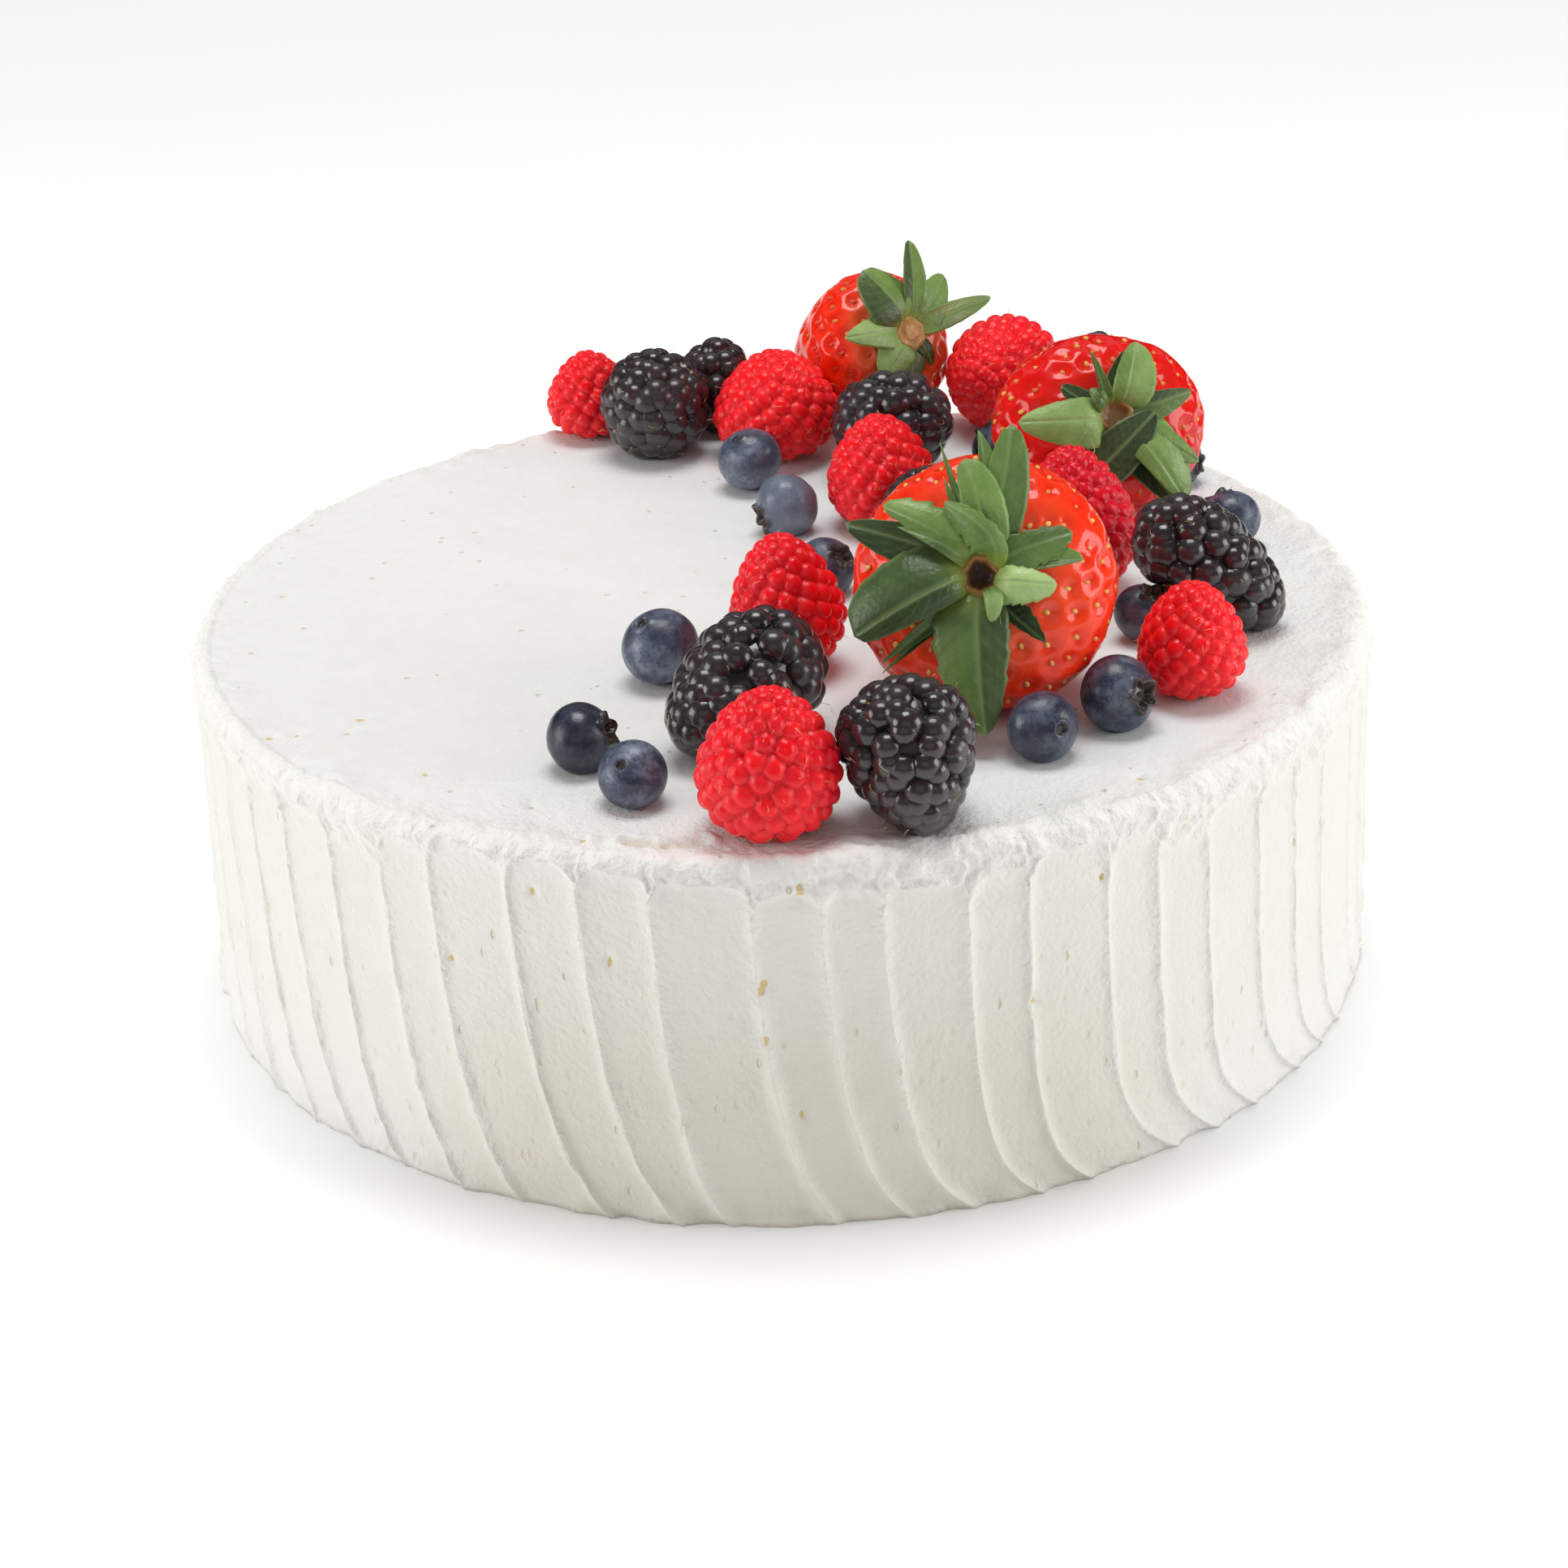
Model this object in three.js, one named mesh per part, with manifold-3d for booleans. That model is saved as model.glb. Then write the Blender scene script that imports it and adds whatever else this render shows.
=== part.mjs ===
// A round cake frosted in whipped cream, its side combed with a spatula and its top dressed with
// a crescent of fresh berries. Millimetres, +Z up; the origin is the middle of the flat base and
// the berries lie mostly towards +X.
import * as THREE from "three";
import { ConvexHull } from "three/addons/math/ConvexHull.js";
import { mergeVertices } from "three/addons/utils/BufferGeometryUtils.js";
import Module from "manifold-3d";

const wasm = await Module();
wasm.setup();

// Frosted cake
const CAKE_RADIUS = 110;
const CAKE_HEIGHT = 69;
const SHOULDER = 2.6;
const SHOULDER_STEPS = 2;
// The ridges that the photograph shows, in degrees round the rim, and the count of the rest
const FRONT_RIDGES = [
  -129.3, -123.6, -115.5, -108.9, -102.3, -93.5, -87.5, -82.2, -74.6, -68.9, -61, -55.4, -49.3,
];
const MORE_RIDGES = 41;
const STROKES = FRONT_RIDGES.length + MORE_RIDGES;
const POINTS_PER_STROKE = 3;
const STROKE_DEPTH = 1.2;
const STROKE_UNEVEN = 0.35;
const STROKE_SWEEP = 14;
const HOOK_SHARE_LEFT = 0.35;
const HOOK_SHARE_RIGHT = 0.8;
const HOOK_POWER = 9;
const SIDE_DROPS = [1, 0.95, 0.88, 0.78, 0.65, 0.5, 0.33, 0.17, 0.1];
const STROKE_START = 0.06;
const STROKE_FULL = 0.17;
const TOP_RING_RADIUS = 70;

// Berries
const GAP = 0.3;
const SUNK = 0.9;
const DRUPELETS = 44;
const RASPBERRY_TAPER = 0.24;
const DRUPELET_RISE = 0.05;
const SEEDS = 64;
const SEED_DENT = -0.012;
const STRAWBERRY_TAPER = 0.25;
const STRAWBERRY_TIP_SHARE = 0.62;
const CROWN_FLAT = 1.2;
const BLUEBERRY_SIDES = 10;
const BLUEBERRY_SQUASH = 0.92;
const BLUEBERRY_LEVELS = [-56, -28, 0, 28, 54];
const SEPAL_REACH = 0.42;
const SEPAL_HEIGHT = 0.98;
const DIMPLE_REACH = 0.28;
const DIMPLE_HEIGHT = 0.74;
const DIMPLE_FLOOR = 0.7;

// Strawberry calyx
const HUB_RADIUS = 5;
const HUB_THICKNESS = 1.6;
const STUB_RADIUS = 2.6;
const STUB_HEIGHT = 1.6;
const HUB_SIDES = 12;
const LEAF_THICKNESS = 0.8;
const LEAF_STEPS = 4;
const LEAF_ROOT = 2.5;
const LEAF_ROOT_WIDTH = 3;
const LEAF_FOLD = 0.22;
const LEAF_ARCH = 1.6;
const LEAF_TIP_WIDTH = 1;
const LEAF_BROADEST_EARLY = 0.75;
const LEAF_FULLNESS = 0.85;
const LEAF_LIFT_CURVE = 1.5;

const CREAM = new THREE.MeshStandardMaterial({ color: 0xefede8, roughness: 0.6, metalness: 0 });
const STRAWBERRY_RED = new THREE.MeshStandardMaterial({ color: 0xd8231c, roughness: 0.3, metalness: 0 });
const LEAF_GREEN = new THREE.MeshStandardMaterial({ color: 0x4d7a38, roughness: 0.5, metalness: 0 });
const RASPBERRY_RED = new THREE.MeshStandardMaterial({ color: 0xcf2335, roughness: 0.4, metalness: 0 });
const BRAMBLE_BLACK = new THREE.MeshStandardMaterial({ color: 0x1c1a20, roughness: 0.25, metalness: 0 });
const BLUEBERRY_BLUE = new THREE.MeshStandardMaterial({ color: 0x3e475c, roughness: 0.5, metalness: 0 });

// Places are on the top of the cake; tip, crown and stalk are the ways that end of a berry points.
const RASPBERRIES = [
  { name: "raspberry_front", x: -2.8, y: -97, width: 23.9, length: 26.5, tip: [0.05, -0.1, 1] },
  { name: "raspberry_inner", x: 1.2, y: -30, width: 20.6, length: 25.5, tip: [-0.12, 0.05, 1] },
  { name: "raspberry_middle", x: 20.9, y: 38.5, width: 21, length: 23, tip: [-0.05, 0, 1] },
  { name: "raspberry_back", x: 0.7, y: 80.4, width: 25.4, length: 22.5, tip: [0, 0, 1] },
  { name: "raspberry_back_left", x: -38.3, y: 96.8, width: 17.5, length: 18.4, tip: [0, 0, 1] },
  { name: "raspberry_back_right", x: 47.6, y: 89.6, width: 23.8, length: 25, tip: [-0.45, -0.75, 0.3] },
  { name: "raspberry_tall", x: 56.5, y: 3, width: 21, length: 28, tip: [-0.15, 0, 1] },
  { name: "raspberry_right", x: 72.5, y: -47.7, width: 19, length: 21.4, tip: [0, 0, 1] },
];
const BRAMBLES = [
  { name: "bramble_front", x: 21, y: -96, width: 22, length: 27, tip: [0.2, -0.6, -0.75], taper: 0.3 },
  { name: "bramble_left", x: -6.8, y: -62.5, width: 23, length: 33, tip: [-0.7, -0.65, -0.3], taper: 0.2 },
  { name: "bramble_right", x: 79, y: -17.6, width: 19.5, length: 32, tip: [0.75, -0.2, -0.6], taper: 0.12 },
  { name: "bramble_back", x: 24, y: 66, width: 24, length: 22, tip: [0, -0.15, -1], taper: 0.12 },
  { name: "bramble_back_left", x: -24.3, y: 83, width: 22.4, length: 20, tip: [0.1, -0.85, 0.3], taper: 0.12 },
  { name: "bramble_rim", x: -12, y: 98.6, width: 17, length: 20, tip: [0.2, 0.4, 0.9], taper: 0.12 },
  { name: "bramble_far", x: 67, y: 79.9, width: 18, length: 23.5, tip: [0, 0.1, 1], taper: 0.12 },
  { name: "bramble_hidden", x: 29, y: 17, width: 19, length: 21, tip: [0.1, -0.3, 0.9], taper: 0.12 },
];
const BLUEBERRIES = [
  { name: "blueberry_left_outer", x: -35.5, y: -69.5, width: 12.5, crown: [0.85, -0.2, 0.35] },
  { name: "blueberry_left_front", x: -25.8, y: -84.5, width: 12.2, crown: [0.3, 0.6, -0.6] },
  { name: "blueberry_left_inner", x: -21.8, y: -34, width: 14.1, crown: [0.45, 0.25, -0.85] },
  { name: "blueberry_back_inner", x: -5, y: 61.5, width: 13, crown: [0.4, 0.25, -0.85] },
  { name: "blueberry_middle", x: 2.5, y: 37, width: 12.8, crown: [-0.9, -0.4, -0.3] },
  { name: "blueberry_inner", x: 8.9, y: 5, width: 11.9, crown: [0.5, -0.5, 0.6] },
  { name: "blueberry_front", x: 44.3, y: -71.6, width: 12.5, crown: [-0.5, 0.8, -0.25] },
  { name: "blueberry_front_right", x: 58.2, y: -60, width: 14, crown: [0.65, -0.7, 0.25] },
  { name: "blueberry_right_inner", x: 66.4, y: -22.9, width: 11, crown: [0.35, -0.3, 0.85] },
  { name: "blueberry_right", x: 87.4, y: 21, width: 12.2, crown: [-0.3, 0.6, 0.5] },
  { name: "blueberry_back", x: 46, y: 64.5, width: 12, crown: [-0.5, 0.3, 0.8] },
  { name: "blueberry_back_right", x: 80.6, y: 56, width: 10.4, crown: [0.85, -0.4, 0.1] },
];

// A strawberry lies on its side, its stalk end towards the front. Each leaf is [angle round the
// stalk in degrees from the right hand side, length, width, how far its tip stands off the berry].
const STRAWBERRIES = [
  {
    name: "strawberry_front", x: 36.6, y: -45, width: 45.5, height: 44.5, length: 45,
    stalk: [-0.1, -0.9, 0.47],
    leaves: [[75, 27, 12, 4], [113, 20, 9, 9], [160, 25, 11, 2], [208, 26, 13, 3], [232, 25, 6, 1],
      [270, 28, 16, -1], [318, 17, 6, 1], [348, 15, 9, 6], [22, 20, 9, 3]],
  },
  {
    name: "strawberry_right", x: 62.8, y: 40, width: 41, height: 35.4, length: 40,
    stalk: [0.16, -0.85, 0.5],
    leaves: [[178, 18, 10, 4], [140, 13, 8, 1], [108, 13, 5, 5], [70, 15, 10, 3], [24, 17, 8, 2],
      [338, 19, 9, 1], [314, 24, 12, 3], [283, 17, 9, 7], [240, 13, 9, 0]],
  },
  {
    name: "strawberry_back", x: 21.2, y: 99.6, width: 31, height: 31, length: 36,
    stalk: [0.56, -0.72, 0.5],
    leaves: [[92, 19, 6, 3], [128, 17, 9, 2], [186, 14, 8, 1], [224, 11, 8, 1], [288, 10, 8, 2],
      [22, 20, 6, 2], [62, 14, 8, 3]],
  },
];

// A number from 0 to 1 that is always the same for the same seed.
function hash(seed) {
  const wave = Math.sin(seed * 127.1 + 11.7) * 43758.5453;
  return wave - Math.floor(wave);
}

// Skins a pile of rings that have equal counts of points, closed by a point below and one above.
function skinRings(bottom, rings, top) {
  const count = rings[0].length;
  const points = [bottom, ...rings.flat(), top];
  const last = points.length - 1;
  const triangles = [];
  for (let i = 0; i < count; i += 1) {
    const next = (i + 1) % count;
    triangles.push(0, 1 + next, 1 + i);
    for (let k = 0; k + 1 < rings.length; k += 1) {
      const low = 1 + k * count;
      const high = low + count;
      triangles.push(low + i, low + next, high + next);
      triangles.push(low + i, high + next, high + i);
    }
    const rim = 1 + (rings.length - 1) * count;
    triangles.push(rim + i, rim + next, last);
  }
  const geometry = new THREE.BufferGeometry().setFromPoints(points);
  geometry.setIndex(triangles);
  return geometry;
}

// The angle at which each ridge leaves the rim: those at the front, then the rest round the back.
function ridgeStarts() {
  const starts = FRONT_RIDGES.map((degrees) => THREE.MathUtils.degToRad(degrees));
  const last = starts[starts.length - 1];
  const gap = (starts[0] + 2 * Math.PI - last) / (MORE_RIDGES + 1);
  for (let i = 1; i <= MORE_RIDGES; i += 1) {
    starts.push(last + gap * (i + STROKE_UNEVEN * (hash(i) - 0.5)));
  }
  return starts;
}

const RIDGE_STARTS = ridgeStarts();

// How far a ridge has swept sideways at a drop of 0 at the rim to 1 at the base. On the right hand
// side it runs nearly straight down and then hooks; on the left it bends all the way.
function ridgeSweep(ridge, drop) {
  const reach = STROKE_SWEEP * (1 + STROKE_UNEVEN * (hash(ridge + 0.3) - 0.5));
  const right = THREE.MathUtils.smoothstep(Math.cos(RIDGE_STARTS[ridge]), -0.1, 0.4);
  const share = THREE.MathUtils.lerp(HOOK_SHARE_LEFT, HOOK_SHARE_RIGHT, right);
  return reach * ((1 - share) * drop ** 2 + share * drop ** HOOK_POWER);
}

// The angle of the ridge that begins a stroke.
function ridgeAngle(stroke, drop) {
  const turn = Math.floor(stroke / STROKES);
  const own = stroke - turn * STROKES;
  return turn * 2 * Math.PI + RIDGE_STARTS[own] + ridgeSweep(own, drop) / CAKE_RADIUS;
}

function sideRing(drop, radius, height) {
  const ring = [];
  const depth = STROKE_DEPTH * THREE.MathUtils.smoothstep(drop, STROKE_START, STROKE_FULL);
  for (let stroke = 0; stroke < STROKES; stroke += 1) {
    const from = ridgeAngle(stroke, drop);
    const to = ridgeAngle(stroke + 1, drop);
    for (let k = 0; k < POINTS_PER_STROKE; k += 1) {
      const share = k / POINTS_PER_STROKE;
      const angle = from + share * (to - from);
      const dip = depth * 4 * share * (1 - share);
      ring.push(new THREE.Vector3(
        (radius - dip) * Math.cos(angle),
        (radius - dip) * Math.sin(angle),
        height,
      ));
    }
  }
  return ring;
}

function buildCake() {
  const rings = SIDE_DROPS.map((drop) => sideRing(drop, CAKE_RADIUS, CAKE_HEIGHT * (1 - drop)));
  for (let k = 0; k <= SHOULDER_STEPS; k += 1) {
    const turn = (k / SHOULDER_STEPS) * (Math.PI / 2);
    const radius = CAKE_RADIUS - SHOULDER * (1 - Math.cos(turn));
    rings.push(sideRing(0, radius, CAKE_HEIGHT - SHOULDER * (1 - Math.sin(turn))));
  }
  rings.push(sideRing(0, TOP_RING_RADIUS, CAKE_HEIGHT));
  return skinRings(new THREE.Vector3(0, 0, 0), rings, new THREE.Vector3(0, 0, CAKE_HEIGHT));
}

// Points spread evenly over a ball of radius 1 along a golden spiral.
function spreadOverBall(count) {
  const golden = Math.PI * (3 - Math.sqrt(5));
  const points = [];
  for (let i = 0; i < count; i += 1) {
    const height = 1 - (2 * (i + 0.5)) / count;
    const radius = Math.sqrt(1 - height * height);
    points.push(new THREE.Vector3(radius * Math.cos(golden * i), radius * Math.sin(golden * i), height));
  }
  return points;
}

// A knobbly skin: one knob for each point spread over a ball, with the valleys where three meet.
// The shape function places a direction on the berry's smooth form.
function knobbly(count, rise, shape) {
  const hull = new ConvexHull().setFromPoints(spreadOverBall(count));
  const valleyOf = (face) => shape(face.normal.clone()).multiplyScalar(1 - rise);
  const corners = [];
  for (const face of hull.faces) {
    let edge = face.edge;
    do {
      const knob = shape(edge.tail().point.clone().normalize()).multiplyScalar(1 + rise);
      corners.push(knob, valleyOf(edge.twin.face), valleyOf(face));
      edge = edge.next;
    } while (edge !== face.edge);
  }
  return mergeVertices(new THREE.BufferGeometry().setFromPoints(corners));
}

function turnTo(geometry, direction) {
  const target = new THREE.Vector3(...direction).normalize();
  const turn = new THREE.Quaternion().setFromUnitVectors(new THREE.Vector3(0, 0, 1), target);
  return geometry.applyQuaternion(turn);
}

// Sets a berry down on the cream with its underside pressed flat.
function pressFlat(geometry) {
  geometry.computeBoundingBox();
  const sink = -geometry.boundingBox.min.z - SUNK;
  geometry.translate(0, 0, sink);
  const places = geometry.getAttribute("position");
  for (let i = 0; i < places.count; i += 1) {
    places.setZ(i, Math.max(0, places.getZ(i)));
  }
  return sink;
}

// An aggregate berry, wide at the stem end and narrower at its tip along +Z.
function aggregateBerry(berry, taper) {
  const shape = (way) => new THREE.Vector3(
    (berry.width / 2) * way.x * (1 - taper * way.z),
    (berry.width / 2) * way.y * (1 - taper * way.z),
    (berry.length / 2) * way.z,
  );
  const geometry = turnTo(knobbly(DRUPELETS, DRUPELET_RISE, shape), berry.tip);
  pressFlat(geometry);
  return geometry;
}

// A round berry with a ring of sepals round a dimple on its crown end along +Z.
function blueberry(berry) {
  const radius = berry.width / 2;
  const profile = [];
  for (const degrees of BLUEBERRY_LEVELS) {
    const angle = THREE.MathUtils.degToRad(degrees);
    profile.push([radius * Math.cos(angle), radius * BLUEBERRY_SQUASH * Math.sin(angle)]);
  }
  profile.push([radius * SEPAL_REACH, radius * SEPAL_HEIGHT]);
  profile.push([radius * DIMPLE_REACH, radius * DIMPLE_HEIGHT]);
  const rings = profile.map(([reach, height], level) => {
    const ring = [];
    for (let i = 0; i < BLUEBERRY_SIDES; i += 1) {
      const angle = ((i + 0.5 * (level % 2)) / BLUEBERRY_SIDES) * 2 * Math.PI;
      ring.push(new THREE.Vector3(reach * Math.cos(angle), reach * Math.sin(angle), height));
    }
    return ring;
  });
  const bottom = new THREE.Vector3(0, 0, -radius * BLUEBERRY_SQUASH);
  const pit = new THREE.Vector3(0, 0, radius * DIMPLE_FLOOR);
  const geometry = turnTo(skinRings(bottom, rings, pit), berry.crown);
  pressFlat(geometry);
  return geometry;
}

// A strawberry's body, its tip along -Z and a small flat under the calyx along +Z.
function strawberryBody(berry) {
  const below = berry.length * STRAWBERRY_TIP_SHARE;
  const above = berry.length - below;
  const shape = (way) => new THREE.Vector3(
    (berry.width / 2) * way.x * (1 + STRAWBERRY_TAPER * way.z),
    (berry.height / 2) * way.y * (1 + STRAWBERRY_TAPER * way.z),
    way.z * (way.z > 0 ? above : below),
  );
  const geometry = knobbly(SEEDS, SEED_DENT, shape);
  const flat = above - CROWN_FLAT;
  const places = geometry.getAttribute("position");
  for (let i = 0; i < places.count; i += 1) {
    places.setZ(i, Math.min(flat, places.getZ(i)));
  }
  return { geometry, flat };
}

function toManifold(geometry) {
  const plain = geometry.clone();
  plain.deleteAttribute("normal");
  plain.deleteAttribute("uv");
  const merged = mergeVertices(plain);
  return new wasm.Manifold(new wasm.Mesh({
    numProp: 3,
    vertProperties: new Float32Array(merged.getAttribute("position").array),
    triVerts: new Uint32Array(merged.getIndex().array),
  }));
}

function fromManifold(solid) {
  const mesh = solid.getMesh();
  const geometry = new THREE.BufferGeometry();
  geometry.setAttribute("position", new THREE.BufferAttribute(new Float32Array(mesh.vertProperties), 3));
  geometry.setIndex(new THREE.BufferAttribute(new Uint32Array(mesh.triVerts), 1));
  return geometry;
}

// One leaf of the calyx: a folded, arched blade that reaches out along +X from the stalk.
function leafBlade([angle, length, width, lift]) {
  const sections = [];
  for (let i = 0; i <= LEAF_STEPS; i += 1) {
    const along = i / LEAF_STEPS;
    const bulge = Math.sin(Math.PI * along ** LEAF_BROADEST_EARLY) ** LEAF_FULLNESS;
    const blade = (LEAF_ROOT_WIDTH * (1 - along) + width * bulge) / 2;
    const half = Math.max(blade, LEAF_TIP_WIDTH / 2);
    const arch = LEAF_ARCH * Math.sin(Math.PI * along);
    const height = HUB_THICKNESS / 2 + lift * along ** LEAF_LIFT_CURVE + arch;
    const fold = LEAF_FOLD * half;
    const reach = LEAF_ROOT + (length - LEAF_ROOT) * along;
    sections.push([[reach, -half, height + fold], [reach, 0, height], [reach, half, height + fold]]);
  }
  const columns = sections[0].length;
  const upper = sections.flat().map(([x, y, z]) => new THREE.Vector3(x, y, z + LEAF_THICKNESS / 2));
  const lower = sections.flat().map(([x, y, z]) => new THREE.Vector3(x, y, z - LEAF_THICKNESS / 2));
  const under = upper.length;
  const triangles = [];
  const wall = (a, b) => triangles.push(a, under + a, under + b, a, under + b, b);
  for (let i = 0; i < LEAF_STEPS; i += 1) {
    for (let k = 0; k + 1 < columns; k += 1) {
      const a = i * columns + k;
      const b = a + columns;
      triangles.push(a, b, b + 1, a, b + 1, a + 1);
      triangles.push(under + a, under + b + 1, under + b, under + a, under + a + 1, under + b + 1);
    }
    wall(i * columns, (i + 1) * columns);
    wall((i + 2) * columns - 1, (i + 1) * columns - 1);
  }
  for (let k = 0; k + 1 < columns; k += 1) {
    wall(k + 1, k);
    wall(LEAF_STEPS * columns + k, LEAF_STEPS * columns + k + 1);
  }
  const geometry = new THREE.BufferGeometry().setFromPoints([...upper, ...lower]);
  geometry.setIndex(triangles);
  return geometry.rotateZ(THREE.MathUtils.degToRad(angle));
}

function hubDisc(radius, low, high) {
  const disc = new THREE.CylinderGeometry(radius, radius, high - low, HUB_SIDES);
  return disc.rotateX(Math.PI / 2).translate(0, 0, (low + high) / 2);
}

// The calyx of a strawberry: leaves round a short cut stalk, its underside at z 0.
function calyx(leaves) {
  const hub = toManifold(hubDisc(HUB_RADIUS, 0, HUB_THICKNESS));
  let solid = hub.add(toManifold(hubDisc(STUB_RADIUS, 0, HUB_THICKNESS + STUB_HEIGHT)));
  for (const leaf of leaves) {
    solid = solid.add(toManifold(leafBlade(leaf)));
  }
  return fromManifold(solid);
}

// Turns a berry's own frame so that +Z is the stalk and +X is the right hand side seen from
// outside along the stalk.
function stalkTurn(stalk) {
  const up = new THREE.Vector3(...stalk).normalize();
  const right = new THREE.Vector3(0, 0, 1).cross(up).normalize();
  const over = up.clone().cross(right);
  return new THREE.Quaternion().setFromRotationMatrix(new THREE.Matrix4().makeBasis(right, over, up));
}

const cake = new THREE.Group();
cake.name = "berry_chantilly_cake";

function addNode(name, geometry, material, x, y, z) {
  const mesh = new THREE.Mesh(geometry, material);
  mesh.name = name;
  mesh.position.set(x, y, z);
  cake.add(mesh);
}

const berryFloor = CAKE_HEIGHT + GAP;
addNode("frosted_cake", buildCake(), CREAM, 0, 0, 0);
for (const berry of RASPBERRIES) {
  addNode(berry.name, aggregateBerry(berry, RASPBERRY_TAPER), RASPBERRY_RED, berry.x, berry.y, berryFloor);
}
for (const berry of BRAMBLES) {
  addNode(berry.name, aggregateBerry(berry, berry.taper), BRAMBLE_BLACK, berry.x, berry.y, berryFloor);
}
for (const berry of BLUEBERRIES) {
  addNode(berry.name, blueberry(berry), BLUEBERRY_BLUE, berry.x, berry.y, berryFloor);
}
for (const berry of STRAWBERRIES) {
  const turn = stalkTurn(berry.stalk);
  const { geometry, flat } = strawberryBody(berry);
  geometry.applyQuaternion(turn);
  const sink = pressFlat(geometry);
  const leaves = calyx(berry.leaves).translate(0, 0, flat + GAP).applyQuaternion(turn);
  leaves.translate(0, 0, sink);
  addNode(berry.name, geometry, STRAWBERRY_RED, berry.x, berry.y, berryFloor);
  addNode(`${berry.name}_calyx`, leaves, LEAF_GREEN, berry.x, berry.y, berryFloor);
}

export default cake;
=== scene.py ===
# The looks of a round cake in whipped cream with a crescent of fresh berries on its top, around its
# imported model. Metres, +Z up, the camera towards -Y. Sizes below are in millimetres unless they say more.
import math
from collections import namedtuple
from functools import partialmethod

import bmesh
import bpy
import numpy as np
from mathutils import Matrix, Vector, noise


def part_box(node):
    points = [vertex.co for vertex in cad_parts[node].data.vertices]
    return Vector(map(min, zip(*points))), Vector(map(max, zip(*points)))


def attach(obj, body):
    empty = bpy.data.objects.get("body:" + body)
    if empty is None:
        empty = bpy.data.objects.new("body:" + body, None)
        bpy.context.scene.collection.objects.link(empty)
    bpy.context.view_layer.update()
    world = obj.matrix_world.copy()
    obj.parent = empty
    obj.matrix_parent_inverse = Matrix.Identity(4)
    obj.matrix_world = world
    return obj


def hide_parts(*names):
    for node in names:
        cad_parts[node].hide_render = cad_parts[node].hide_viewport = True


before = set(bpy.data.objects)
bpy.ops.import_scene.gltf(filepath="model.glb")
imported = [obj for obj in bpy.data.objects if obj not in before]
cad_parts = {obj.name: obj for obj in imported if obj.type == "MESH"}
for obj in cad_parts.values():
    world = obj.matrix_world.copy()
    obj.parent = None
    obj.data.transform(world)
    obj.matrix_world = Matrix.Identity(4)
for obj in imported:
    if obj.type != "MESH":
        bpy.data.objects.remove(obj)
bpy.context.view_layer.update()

MM = 0.001
BODY = "root"
SEED = 20
random_numbers = np.random.default_rng(SEED)

# Camera and light
CAMERA_PLACE = (0, -683.245, 354.893)
CAMERA_AIM = (-0.426, 0, 31.397)
CAMERA_ROLL = -2.098
CAMERA_LENS = 90.07
SENSOR_WIDTH = 36
WORLD_STRENGTH = 0.335
FLOOR_REACH = 4000
CAKE_MIDDLE = (0, 0, 50)
# Each light is (place, width and height, watts, the place it points at)
LIGHTS = {
    "left_box": ((-980, -180, 360), (600, 500), 4.6, CAKE_MIDDLE),
    "right_box": ((980, -180, 360), (600, 500), 4.8, CAKE_MIDDLE),
    "top_box": ((0, 350, 2200), (1200, 900), 26.7, CAKE_MIDDLE),
    "front_box": ((0, -1500, 900), (1600, 900), 1.9, CAKE_MIDDLE),
    "back_box": ((0, 1600, 1300), (3000, 900), 3.0, (0, 1200, 0)),
}

# Cream
CAKE_RADIUS = 110
CAKE_HEIGHT = 69
SHOULDER = 2.6
TOP_RADIUS = CAKE_RADIUS - SHOULDER
# Angles in degrees of the crests between the strokes that show, and the height at which each stroke begins
FRONT_CRESTS = (
    -129.3, -123.6, -115.5, -108.9, -102.3, -93.5, -87.5, -82.2, -74.6, -68.9, -61.0, -55.4, -49.3,
)
FRONT_TOPS = (66.6, 67.6, 67.3, 67.0, 65.4, 63.8, 64.4, 63.0, 64.0, 65.4, 64.0, 62.0, 64.6)
# How clearly the top of each stroke stands out, from 0 to 1
FRONT_LIPS = (0.5, 0.8, 0.95, 1.0, 1.0, 0.9, 0.4, 0.9, 0.2, 1.0, 0.25, 0.1, 0.15)
MORE_CRESTS = 41
MORE_LIPS = 0.8
TOP_LOW = 62
TOP_HIGH = 66
HIGHEST_TOP = CAKE_HEIGHT - 0.5
TOP_SLOPE = 3.0
LEFT_CORNER = 4.0
RIGHT_CORNER = 2.0
LIP_HEIGHT = 0.65
STROKE_UNEVEN = 0.35
STROKE_SWEEP = 14
HOOK_POWER = 9
HOOK_SHARE_LEFT = 0.35
HOOK_SHARE_RIGHT = 0.8
BAND_DEPTH = 0.2
BAND_DISH = 0.22
CREST_PROUD = 0.58
CREST_WIDTH_AFTER = 0.9
CREST_WIDTH_BEFORE = 1.0
BAND_ROUGH = 0.38
CREST_ROUGH = 0.37
TOP_ROUGH = 0.12
# Points of the cream's mesh: columns of a stroke, rings up the side and round the rim, and rings of the top
# as (first radius, last radius, count, one point kept of so many)
COLUMNS_SEEN = 24
COLUMNS_BEHIND = 8
COLUMN_CROWDING = 0.72
LOWER_SIDE = 56
LOWER_RINGS = 46
UPPER_RINGS = 20
RIM_RINGS = 7
TOP_RINGS = ((106.44, 93, 15, 1), (92, 45, 34, 2), (43.5, 20, 17, 4), (18.5, 1.5, 12, 8))
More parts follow.
